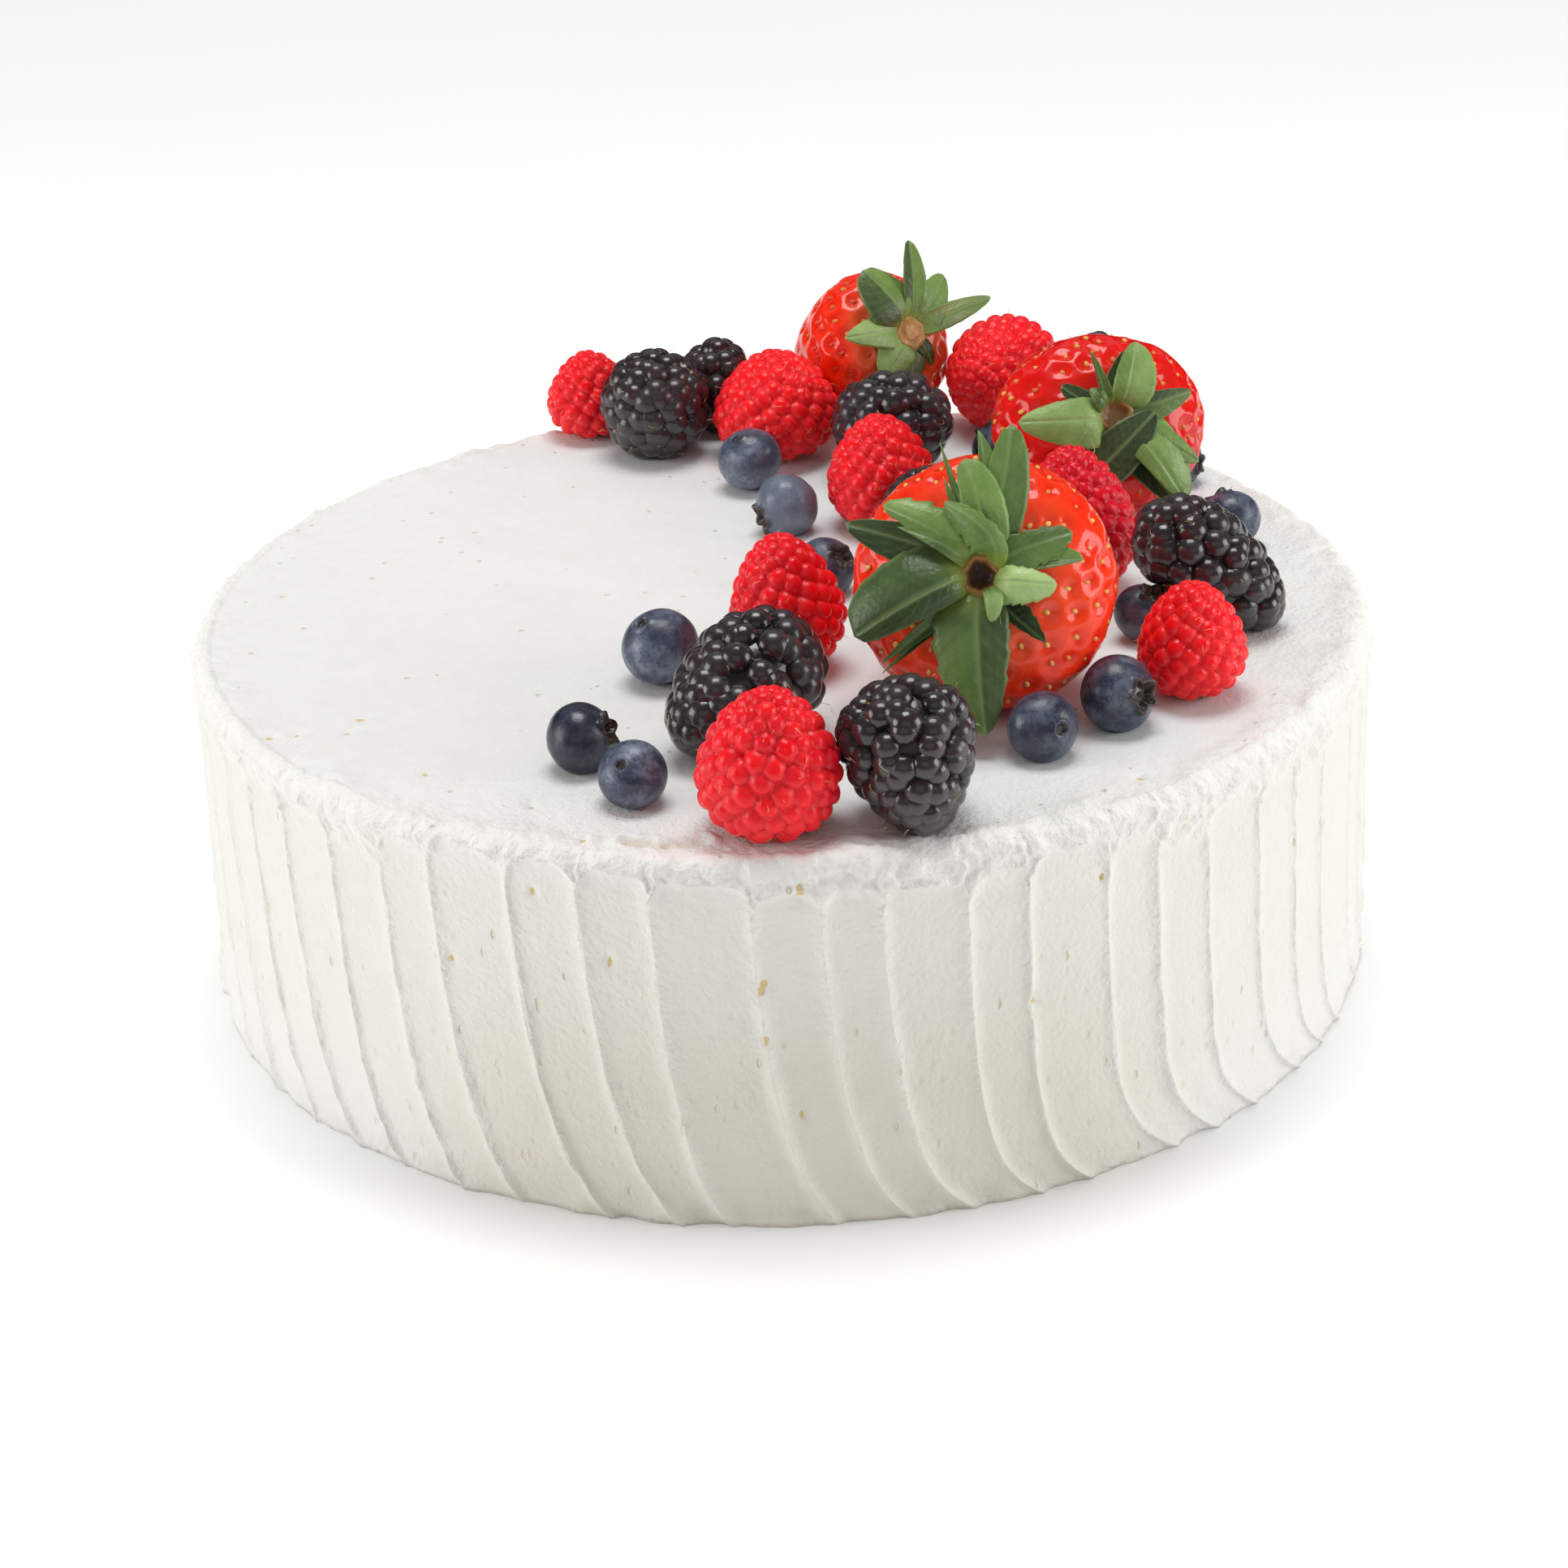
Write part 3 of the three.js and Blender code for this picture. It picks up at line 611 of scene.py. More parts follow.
class Cream:
    """The cake's surface as rings of points, from the base up the side and over the rim to the middle."""

    def __init__(self):
        self.crests = crest_angles()
        self.count = len(self.crests)
        more = np.arange(MORE_CRESTS)
        tops = np.concatenate([FRONT_TOPS, TOP_LOW + (TOP_HIGH - TOP_LOW) * share_of(more + 0.7)])
        lips = np.concatenate([FRONT_LIPS, MORE_LIPS * share_of(more + 0.35) ** 2])
        columns = np.where(np.sin(self.crests) < 0.12, COLUMNS_SEEN, COLUMNS_BEHIND)
        self.stroke = np.repeat(np.arange(self.count), columns)
        self.following = (self.stroke + 1) % self.count
        self.tops = tops[self.stroke]
        self.lips = lips[self.stroke]
        step = np.concatenate([np.arange(number) / number for number in columns])
        self.share = step - COLUMN_CROWDING * np.sin(2 * math.pi * step) / (2 * math.pi)
        self.columns = len(self.stroke)
        ends = np.append(self.crests[1:], self.crests[0] + 2 * math.pi)
        self.pitch = ((ends - self.crests) * CAKE_RADIUS)[self.stroke]
        self.even_angle = self.crests[self.stroke] * (1 - step) + ends[self.stroke] * step
        index = np.arange(self.count)
        self.level = BAND_DEPTH + 0.18 * (share_of(self.stroke + 0.9) - 0.5)
        self.proud = CREST_PROUD * (0.45 + 0.9 * share_of(index + 0.4))
        self.breadth = 0.7 + 0.8 * share_of(index + 0.55)
        self.slope = TOP_SLOPE * (share_of(self.stroke + 0.15) - 0.65)
        self.softness = 1.1 + 4.0 * (1 - self.lips)
        self.rings = []
        self.rough = []
        self.slots = []

    def angle_at(self, drop):
        swept = self.crests + cream_sweep(self.crests, drop)
        ends = np.append(swept[1:], swept[0] + 2 * math.pi)
        return swept[self.stroke] * (1 - self.share) + ends[self.stroke] * self.share

    def add_ring(self, points, rough, slot=None):
        self.rings.append(points)
        self.rough.append(rough)
        self.slots.append(np.zeros(len(points)) if slot is None else slot)

    def crest_shape(self, place, height):
        """How near each point is to a crest, from 0 to 1, with wandering, uneven crests."""
        run = triples(self.stroke * 9.0, height, self.share * 2)
        wander = 0.6 * rumple(run, 11)
        thick = 1 + 0.45 * rumple(place, 5, 14.0)
        after = np.abs(self.share * self.pitch + wander) / self.breadth[self.stroke]
        before = np.abs((1 - self.share) * self.pitch - wander) / self.breadth[self.following]
        on_left = bell(after, CREST_WIDTH_AFTER * thick, 1.5)
        return np.maximum(on_left, bell(before, CREST_WIDTH_BEFORE * thick, 1.5))

    def stroke_top(self, place):
        """The height at which each stroke begins: nearly level, with its corners rounded off."""
        left = LEFT_CORNER * bell(self.share * self.pitch, 1.5, 1.5)
        right = RIGHT_CORNER * bell((1 - self.share) * self.pitch, 1.0, 1.5)
        slope = self.slope * (self.share - 0.5)
        top = self.tops + slope - left - right + 0.8 * rumple(place, 4, 5.0)
        return np.minimum(top, HIGHEST_TOP)

    def side_pits(self, angle, height):
        total = np.zeros(self.columns)
        for degrees, level, size in SIDE_PITS:
            away = np.angle(np.exp(1j * (angle - math.radians(degrees)))) * CAKE_RADIUS
            total += bell(np.hypot(away, 0.55 * (height - level)), PIT_BREADTH * size)
        return np.minimum(total, 1)

    def strokes_at(self, place, height, ragged):
        """How far the cream stands out of its smooth form, how rough it is, and how near its crests are. How
        rough it is also sets how much lighter it is painted: a painted highlight on the crests and painted
        light on the torn cream above the strokes.
        """
        drop = 1 - height / CAKE_HEIGHT
        crest = self.crest_shape(place, height) * (1 - 0.6 * smoothstep(drop, 0.93, 1.0))
        crest_lumps = 0.8 + 0.6 * rumple(place, 8, 3.0) + 0.6 * rumple(place, 3.0, 9.0)
        crest_lumps = crest_lumps * (0.6 + 0.7 * smoothstep(drop, 0.25, 0.9))
        top = self.stroke_top(place)
        band = smoothstep(top - height, 0, self.softness)
        lip_gate = self.lips * smoothstep(rumple(place, 6, 13.0), -0.3, 0.25)
        lip = LIP_HEIGHT * lip_gate * bell(height - top, 0.7)
        dish = BAND_DISH * 4 * self.share * (1 - self.share)
        proud = np.where(self.share < 0.5, self.proud[self.stroke], self.proud[self.following])
        in_band = -self.level * (1 - crest) - dish + proud * crest * crest_lumps
        shift = in_band * band + ragged * (1 - band) + lip + soft_waves(place)
        return shift, BAND_ROUGH + CREST_ROUGH * np.maximum(1 - band, crest), crest

    def side_ring(self, height):
        drop = 1 - height / CAKE_HEIGHT
        angle = self.angle_at(drop)
        flat = flat_way(angle)
        place = flat * CAKE_RADIUS + (0, 0, height)
        shift, rough, crest = self.strokes_at(place, height, torn(place))
        lumps = 1.5 * np.maximum(rumple(place, 9, 7.0), 0) + 0.6 * rumple(place, 3.4, 8.0)
        foot = smoothstep(drop, 0.91, 0.985) * (lumps + 0.1 + 0.7 * crest)
        shift = shift + foot - 0.6 * self.side_pits(angle, height)
        self.add_ring(place + flat * shift[:, None], rough)

    def rim_ring(self, turn):
        angle = self.angle_at(0)
        flat = flat_way(angle)
        out = flat * math.cos(turn) + np.array((0, 0, math.sin(turn)))
        place = flat * TOP_RADIUS + (0, 0, CAKE_HEIGHT - SHOULDER) + out * SHOULDER
        ragged = torn(place) * (1 - 0.35 * math.sin(turn))
        shift, rough, _ = self.strokes_at(place, place[0, 2], ragged)
        points = place + out * shift[:, None]
        points[:, 2] += rim_lip(place, angle) * math.sin(turn)
        self.add_ring(points, rough)

    def top_ring(self, radius, thin):
        even = smoothstep(TOP_RADIUS - radius, 0, 18)
        angle = (self.angle_at(0) * (1 - even) + self.even_angle * even)[::thin]
        place = flat_way(angle) * radius + (0, 0, CAKE_HEIGHT)
        frontal = np.maximum(smoothstep(-place[:, 1], 60, 100), smoothstep(place[:, 0], 70, 98))
        coarse = smoothstep(radius, 93, TOP_RADIUS) * (0.3 + 0.7 * frontal)
        rag = torn(place) * (0.65 * smoothstep(radius, 97, TOP_RADIUS) * (0.4 + 0.6 * frontal))
        waves = soft_waves(place) * (0.5 + 0.5 * coarse) + 0.3 * rumple(place, 24, 12.0)
        swells = 0.3 * frontal * rumple(place, 7, 16.0)
        lip = rim_lip(place, angle) * smoothstep(radius, 100, TOP_RADIUS)
        pits = np.zeros(len(place))
        for x, y, size in TOP_PITS:
            pits += bell(np.hypot(place[:, 0] - x, place[:, 1] - y), PIT_BREADTH * size)
        slot, slot_lip = self.slot_at(place)
        place[:, 2] += waves + swells + rag + lip - 0.7 * pits - SLOT_DEPTH * slot + SLOT_LIP * slot_lip
        # The last value sets the painted shade in the slot.
        self.add_ring(place, TOP_ROUGH + 0.55 * np.maximum(coarse, 0.75 * frontal), 0.7 * slot)

    def slot_at(self, place):
        """The slot by the rim and the lip along its inner edge, each from 0 to 1."""
        nearest = np.full(len(place), np.inf)
        for first, second in zip(SLOT, SLOT[1:]):
            way = np.subtract(second, first)
            along = np.clip((place[:, :2] - first) @ way / (way @ way), 0, 1)
            gap = place[:, :2] - (np.array(first) + along[:, None] * way)
            nearest = np.minimum(nearest, np.linalg.norm(gap, axis=1))
        inward = smoothstep(place[:, 1], -101.5, -99.5)
        return bell(nearest, 1.1, 4), inward * bell(nearest - 2.0, 0.8)

    def build(self):
        lower = np.linspace(0, LOWER_SIDE, LOWER_RINGS)
        upper = np.linspace(LOWER_SIDE, CAKE_HEIGHT - SHOULDER, UPPER_RINGS)[1:]
        for height in np.concatenate([lower, upper]):
            self.side_ring(height)
        for turn in np.linspace(0, math.pi / 2, RIM_RINGS)[1:]:
            self.rim_ring(turn)
        for outer, inner, count, thin in TOP_RINGS:
            for radius in np.linspace(outer, inner, count):
                self.top_ring(radius, thin)
        faces = []
        first = 0
        for ring, following in zip(self.rings, self.rings[1:]):
            faces.append(ring_faces(len(ring), len(following), first))
            first += len(ring)
        points = np.concatenate(self.rings)
        last = len(self.rings[-1])
        centre = len(points)
        index = np.arange(last)
        faces.append(triples(first + index, first + (index + 1) % last, centre))
        foot = np.arange(self.columns)
        faces.append(triples((foot + 1) % self.columns, foot, centre + 1))
        points = np.concatenate([points, [(0, 0, CAKE_HEIGHT), (0, 0, 0)]])
        rough = np.concatenate(self.rough + [np.full(2, TOP_ROUGH)])
        slots = np.concatenate(self.slots + [np.zeros(2)])
        return points, np.concatenate(faces), rough, slots


def ring_faces(outer, inner, first):
    """Triangles between two rings, where the first has as many points as the second or a multiple of it."""
    second = first + outer
    thin = outer // inner
    index = np.arange(inner)
    following = (index + 1) % inner
    faces = []
    half = (thin + 1) // 2
    for step in range(thin):
        here = first + thin * index + step
        after = first + (thin * index + step + 1) % outer
        faces.append(triples(here, after, second + (index if step < half else following)))
    middle = first + (thin * index + half) % outer
    faces.append(triples(middle, second + following, second + index))
    return np.concatenate(faces)


def red_nearness(points):
    """How near each point of the top is to a red berry, from 0 to 1."""
    nearness = np.zeros(len(points))
    for name in (*RASPBERRIES, *STRAWBERRIES):
        low, high = node_box(name)
        reach = RED_REACH * (high[0] - low[0])
        away = np.linalg.norm(points[:, :2] - (low + high)[:2] / 2, axis=1)
        nearness = nearness + 0.5 * bell(away, reach) + 0.5 * bell(1.5 * away, reach)
    inside = 1 - smoothstep(np.hypot(points[:, 0], points[:, 1]), CAKE_RADIUS - 7, CAKE_RADIUS - 1)
    return np.minimum(nearness, 1) * inside * (points[:, 2] > CAKE_HEIGHT / 2)


def add_cream():
    points, faces, rough, slots = Cream().build()
    height = points[:, 2]
    low = 1 - smoothstep(height, 0, 66)
    base = 1 - smoothstep(height, 0, 25)
    side = 1 - smoothstep(height, CAKE_HEIGHT - 9, CAKE_HEIGHT)
    front = smoothstep(-points[:, 1], 0.7 * CAKE_RADIUS, CAKE_RADIUS)
    marks = {
        # rough also sets how much lighter the cream is painted: a painted highlight on the crests and
        # painted light on the torn rim
        "rough": rough,
        # slot sets the painted ochre shade in the slot by the rim
        "slot": slots,
        # shade paints light and shade: lighter low on the sides, warmer on the side than on the top, darker
        # and warmer low at the front
        "shade": 0.35 + 0.15 * side + 0.8 * low * front - 0.25 * base * (1 - front),
        "foam": side * (0.35 + 0.65 * low),
        # Painted cool tint: red berries reflect red light onto the cream round them, and this tint cancels
        # part of it
        "painted_cool_tint": 0.7 * red_nearness(points),
    }
    dress(make_piece("whipped_cream", points, faces, cream_material(), marks), "frosted_cake")


# Raspberries and brambles

# A drupelet of a bramble is a ball with most of its points on the outer side that shows
DRUPELET_RINGS = np.radians((0.1, 14, 28, 42, 56, 74, 105, 179.9))
DRUPELET_SIDES = 14
BALL_POINTS = ball_rings(DRUPELET_RINGS, DRUPELET_SIDES)
BALL_FACES = grid_faces(len(DRUPELET_RINGS), DRUPELET_SIDES)
# The room of a drupelet, as a share of its spacing squared, and its radius, as a share of the spacing
DRUPELET_ROOM = 0.87
DRUPELET_RADIUS = 0.68
CORE_GRID = (14, 24)
CORE_SHARE = 0.86
# A raspberry's skin has this many rows and columns. The rest are shares of the spacing of its drupelets
LOBED_GRID = (114, 148)
LOBE_REACH = 0.84
CREASE_WIDTH = 0.2
CREASE_DEPTH = 0.07
# Hairs, and the share of drupelets that have one
HAIR_STEPS = 5
HAIR_SIDES = 3
HAIR_RADIUS = 0.07
HAIR_LENGTHS = (0.9, 2.2)
RASPBERRY_HAIRS = 0.4
BRAMBLE_HAIRS = 0.2

# Each berry is (width, length, the way its tip points, taper, spacing of its drupelets, unevenness, depth
# of its colour)
RASPBERRIES = {
    "raspberry_front": (23.9, 26.5, (0.05, -0.1, 1), 0.24, 4.0, 0.2, 0.35),
    "raspberry_inner": (20.6, 25.5, (-0.12, 0.05, 1), 0.24, 3.8, 0.15, 0.3),
    "raspberry_middle": (21, 23, (-0.05, 0, 1), 0.24, 3.8, 0.15, 0.2),
    "raspberry_back": (25.4, 22.5, (0, 0, 1), 0.24, 4.0, 0.15, 0.0),
    "raspberry_back_left": (17.5, 18.4, (0, 0, 1), 0.24, 3.6, 0.15, 0.1),
    "raspberry_back_right": (23.8, 25, (-0.45, -0.75, 0.3), 0.24, 3.8, 0.15, 0.15),
    "raspberry_tall": (21, 28, (-0.15, 0, 1), 0.24, 3.5, 0.18, 0.9),
    "raspberry_right": (19, 21.4, (0, 0, 1), 0.24, 3.4, 0.15, 0.0),
}
BRAMBLES = {
    "bramble_front": (22, 27, (0.2, -0.6, -0.75), 0.3, 4.2, 0.22, 0.0),
    "bramble_left": (23, 33, (-0.7, -0.65, -0.3), 0.2, 4.8, 0.18, 0.0),
    "bramble_right": (19.5, 32, (0.75, -0.2, -0.6), 0.12, 4.5, 0.18, 0.0),
    "bramble_back": (24, 22, (0, -0.15, -1), 0.12, 5.0, 0.25, 0.0),
    "bramble_back_left": (22.4, 20, (0.1, -0.85, 0.3), 0.12, 4.7, 0.2, 0.1),
    "bramble_rim": (17, 20, (0.2, 0.4, 0.9), 0.12, 4.8, 0.22, 0.3),
    "bramble_far": (18, 23.5, (0, 0.1, 1), 0.12, 4.4, 0.22, 0.0),
    "bramble_hidden": (19, 21, (0.1, -0.3, 0.9), 0.12, 4.4, 0.22, 0.0),
}


def egg(ways, width, length, taper):
    across = width / 2 * (1 - taper * ways[:, 2:3])
    return np.concatenate([ways[:, :2] * across, ways[:, 2:3] * length / 2], axis=1)


def egg_outward(ways, width, length):
    return unit_rows(ways * np.array([length, length, width]))


def drupelet_ways(width, length, spacing, jitter):
    """The directions of a berry's drupelets, which are evenly spread apart from the jitter."""
    area = math.pi * width * (width + 2 * length) / 3
    count = int(area / (DRUPELET_ROOM * spacing**2))
    return unit_rows(spread_over_ball(count) + random_numbers.normal(0, jitter, (count, 3)))


def clustered_berry(width, length, taper, spacing, uneven):
    """A berry of many small round drupelets on an egg. The tip is at +Z."""
    ways = drupelet_ways(width, length, spacing, uneven * spacing / width * 2)
    count = len(ways)
    outward = egg_outward(ways, width, length)
    spread = 0.7 * uneven
    radii = spacing * DRUPELET_RADIUS * random_numbers.uniform(1 - spread, 1 + spread, count)
    centres = egg(ways, width, length, taper) - outward * (radii * 0.9)[:, None]
    side = unit_rows(np.cross(outward, np.array([0.31, 0.52, 0.79])))
    axes = (side, np.cross(outward, side), outward)
    points = copies(centres, axes, BALL_POINTS, (radii[:, None, None],) * 3)
    crest = np.tile(BALL_POINTS[:, 2], (count, 1))
    tone = np.repeat(random_numbers.uniform(0, 1, count)[:, None], len(BALL_POINTS), axis=1)
    return points, crest, tone, outward


def lobed_berry(width, length, taper, spacing, uneven):
    """An egg whose one skin swells over every drupelet, with soft creases between them. The tip is at +Z."""
    ways = drupelet_ways(width, length, spacing, uneven * spacing / width)
    count = len(ways)
    middles = egg(ways, width, length, taper)
    spread = 0.4 * uneven
    sizes = random_numbers.uniform(1 - spread, 1 + spread, count)
    grid = ball_grid(*LOBED_GRID)
    skin = egg(grid, width, length, taper)
    away = np.linalg.norm(skin[:, None, :] - middles[None, :, :], axis=2) / sizes[None, :]
    first, second = np.partition(away, 1, axis=1)[:, :2].T
    apart = (second - first) / spacing
    reach = LOBE_REACH * spacing
    dome = np.sqrt(np.maximum(1 - (first / reach) ** 2, 0.04))
    swell = reach * (dome - 1) - CREASE_DEPTH * spacing * bell(apart, CREASE_WIDTH)
    points = skin + egg_outward(grid, width, length) * swell[:, None]
    tone = random_numbers.uniform(0, 1, count)[away.argmin(axis=1)]
    return points, apart, tone, middles, egg_outward(ways, width, length)


def add_lobed(name, table_row, material):
    width, length, tip, taper, spacing, uneven, depth = table_row
    turn = turn_z_to(tip)
    points, apart, tone, middles, outward = lobed_berry(width, length, taper, spacing, uneven)
    placing = Placing(points, turn, name)
    marks = {
        # crest also sets the painted shade in the creases and the painted sheen round each drupelet
        "crest": np.minimum(apart / 0.8, 1),
        "tone": np.minimum(0.4 * tone**2 + depth, 1),
    }
    piece = make_piece(name + "_fruit", placing.put(points), grid_faces(*LOBED_GRID), material, marks)
    dress(piece, name)
    tops = placing.put(middles)
    shown = tops[:, 2] > CAKE_HEIGHT + 1
    return tops[shown], (outward @ turn.T)[shown]


def add_clustered(name, table_row, material):
    width, length, tip, taper, spacing, uneven, depth = table_row
    turn = turn_z_to(tip)
    points, crest, tone, outward = clustered_berry(width, length, taper, spacing, uneven)
    placing = Placing(points.reshape(-1, 3), turn, name)
    placed = placing.put(points)
    kept = placed[:, :, 2].max(axis=1) > CAKE_HEIGHT - 0.5
    kept_points = placed[kept].reshape(-1, 3)
    faces = copied_faces(BALL_FACES, len(BALL_POINTS), int(kept.sum()))
    core = placing.put(egg(ball_grid(*CORE_GRID), width * CORE_SHARE, length * CORE_SHARE, taper))
    core_faces = grid_faces(*CORE_GRID) + len(kept_points)
    inner = np.zeros(len(core))
    marks = {
        # crest also sets the painted shade towards the gaps between drupelets
        "crest": np.concatenate([np.clip(crest[kept].ravel(), 0, 1), inner]),
        "tone": np.concatenate([np.minimum(0.6 * tone[kept].ravel() ** 2 + depth, 1), inner]),
    }
    everything = np.concatenate([kept_points, core])
    piece = make_piece(name + "_fruit", everything, np.concatenate([faces, core_faces]), material, marks)
    dress(piece, name)
    kept_outward = outward[kept] @ turn.T
    return placed[kept].mean(axis=1) + kept_outward * spacing * DRUPELET_RADIUS, kept_outward


def hair_mesh(roots, ways, lengths):
    """Thin curved hairs, each a tapering tube."""
    all_points = []
    all_faces = []
    size = HAIR_STEPS * HAIR_SIDES
    for number, (root, way, length) in enumerate(zip(roots, ways, lengths)):
        lean = unit(way * 0.5 + random_numbers.normal(0, 0.6, 3))
        bend = random_numbers.normal(0, 0.5, 3) - way * 0.4
        side = unit(np.cross(way, (0.3, 0.2, 0.9)))
        other = np.cross(way, side)
        rings = []
        for step in range(HAIR_STEPS):
            share = step / (HAIR_STEPS - 1)
            centre = root + length * (lean * share + bend * share**2)
            thick = HAIR_RADIUS * (1 - 0.7 * share)
            for corner in range(HAIR_SIDES):
                angle = 2 * math.pi * corner / HAIR_SIDES
                rings.append(centre + thick * (side * math.cos(angle) + other * math.sin(angle)))
        first = number * size
        last = first + size - 1
        all_points.append(np.array(rings))
        all_faces.append(grid_faces(HAIR_STEPS, HAIR_SIDES) + first)
        all_faces.append(np.array([[last, last - 1, last - 2]]))
    return np.concatenate(all_points), np.concatenate(all_faces)


def add_clustered_berries():
    hair_roots = []
    hair_ways = []
    kinds = (
        (RASPBERRIES, add_lobed, raspberry_material(), RASPBERRY_HAIRS),
        (BRAMBLES, add_clustered, bramble_material(), BRAMBLE_HAIRS),
    )
    for table, add_berry, material, hair_share in kinds:
        for name, row in table.items():
            tops, outward = add_berry(name, row, material)
            chosen = random_numbers.uniform(0, 1, len(tops)) < hair_share
            hair_roots.append(tops[chosen])
            hair_ways.append(outward[chosen])
    roots = np.concatenate(hair_roots)
    lengths = random_numbers.uniform(*HAIR_LENGTHS, len(roots))
    points, faces = hair_mesh(roots, np.concatenate(hair_ways), lengths)
    dress(make_piece("berry_hairs", points, faces, hair_material()))


# Blueberries

# Each blueberry is (width, the way its crown points, how dark it is, or how pale if under 0)
BLUEBERRIES = {
    "blueberry_left_outer": (12.5, (0.85, -0.2, 0.35), 0.75),
    "blueberry_left_front": (12.2, (0.3, 0.6, -0.6), 0.15),
    "blueberry_left_inner": (14.1, (0.45, 0.25, -0.85), -0.1),
    "blueberry_back_inner": (13, (0.4, 0.25, -0.85), -0.15),
    "blueberry_middle": (12.8, (-0.9, -0.4, -0.3), -0.6),
    "blueberry_inner": (11.9, (0.5, -0.5, 0.6), 0.4),
    "blueberry_front": (12.5, (-0.5, 0.8, -0.25), 0.5),
    "blueberry_front_right": (14, (0.65, -0.7, 0.25), 0.4),
    "blueberry_right_inner": (11, (0.35, -0.3, 0.85), 0.6),
    "blueberry_right": (12.2, (-0.3, 0.6, 0.5), 0.3),
    "blueberry_back": (12, (-0.5, 0.3, 0.8), 0.4),
    "blueberry_back_right": (10.4, (0.85, -0.4, 0.1), 0.3),
}
BLUEBERRY_GRID = (78, 60)
BLUEBERRY_CROWDING = 0.6
BLUEBERRY_SQUAT = 0.92
BLUEBERRY_UNEVEN = 0.012
# Angles from the poles, in radians
CROWN_EDGE = 0.37
CROWN_POINT = 0.12
SCAR_EDGE = 0.19
SCAR_RING = 0.25


def blueberry_shape(width):
    """A squat ball with a five-pointed crown at +Z and a scar at -Z, and the same ball without them."""
    ways = ball_grid(*BLUEBERRY_GRID, BLUEBERRY_CROWDING)
    around = np.arctan2(ways[:, 1], ways[:, 0])
    polar = np.arccos(np.clip(ways[:, 2], -1, 1))
    from_scar = math.pi - polar
    points = 0.5 + 0.5 * np.cos(5 * around + 0.5 * np.sin(2 * around))
    edge = CROWN_EDGE + CROWN_POINT * points
    rise = bell(polar - edge + 0.04, 0.07) * (0.04 + 0.13 * points)
    hollow = smoothstep(edge - 0.07 - polar, 0.0, 0.1) * 0.2
    nub = bell(polar, 0.06) * 0.05
    scar = smoothstep(SCAR_EDGE - from_scar, 0, 0.08) * 0.12
    ring = bell(from_scar - SCAR_RING, 0.06) * 0.025
    radius = 1 + rise - hollow + nub - scar + ring
    inside = smoothstep(edge - polar, -0.05, 0.03) + 0.9 * smoothstep(SCAR_EDGE - from_scar, 0, 0.06)
    plain = ways * np.array([1, 1, BLUEBERRY_SQUAT]) * width / 2
    return plain * radius[:, None], plain, np.clip(inside, 0, 1)


def add_blueberries():
    material = blueberry_material()
    faces = grid_faces(*BLUEBERRY_GRID)
    for number, (name, (width, way, tone)) in enumerate(BLUEBERRIES.items()):
        points, plain, crown = blueberry_shape(width)
        lumps = BLUEBERRY_UNEVEN * width * rumple(points, width * 0.45, number * 3.1)
        points = points + lumps[:, None] * points / (width / 2)
        placed = Placing(plain, turn_z_to(way), name).put(points)
        marks = {
            "crown": crown,
            "tone": np.full(len(points), max(tone, 0)),
            "pale": np.full(len(points), max(-tone, 0)),
        }
        dress(make_piece(name + "_fruit", placed, faces, material, marks), name)


# Strawberries

STRAWBERRY_GRID = (110, 150)
STRAWBERRY_TAPER = 0.25
STRAWBERRY_TIP_SHARE = 0.62
CROWN_FLAT = 1.2
CALYX_GAP = 0.3
DENT_WIDTH = 1.4
DENT_DEPTH = 0.55
PILLOW_HEIGHT = 0.2
# A seed's half length, half width and half thickness
SEED_SIZES = (0.82, 0.48, 0.4)
SEED_SUNK = 0.5
SEED_JITTER = 0.035
# Seeds stop at this share of the way from the middle to the stalk
SEED_TOP = 0.93

# Each strawberry is (width, height, length, the way its stalk points, count of seeds, depth of its red, how
# red its seeds are, how pale its shoulder is). The pale shoulder is the berry's own colour, and on
# strawberry_back it is made paler still as a painted reflection.
STRAWBERRIES = {
    "strawberry_front": (45.5, 44.5, 45, (-0.1, -0.9, 0.47), 280, 0.0, 0.15, 0.3),
    "strawberry_right": (41, 35.4, 40, (0.16, -0.85, 0.5), 240, 0.95, 0.45, 0.05),
    "strawberry_back": (31, 31, 36, (0.56, -0.72, 0.5), 170, 0.0, 0.8, 0.8),
}

# A leaf of a calyx, seen from outside along the stalk, with x to the right and y up from the stalk's middle.
# It bends from the stalk by way of start to its tip. Widths, curls (drooping under 0) and tones are those of
# its left and its right half, heights those of its middle and its tip, and rounding that of its two ends.
# The tones are partly each leaf's own green and partly painted light and shade, a half lighter where light
# falls on it and darker where it is turned away. A leaf with a root of its own starts there, low on the
# berry. Teeth are how deep the edge is cut.
Leaf = namedtuple("Leaf", "start tip widths rounding heights curls tones root teeth", defaults=(None, 0.04))

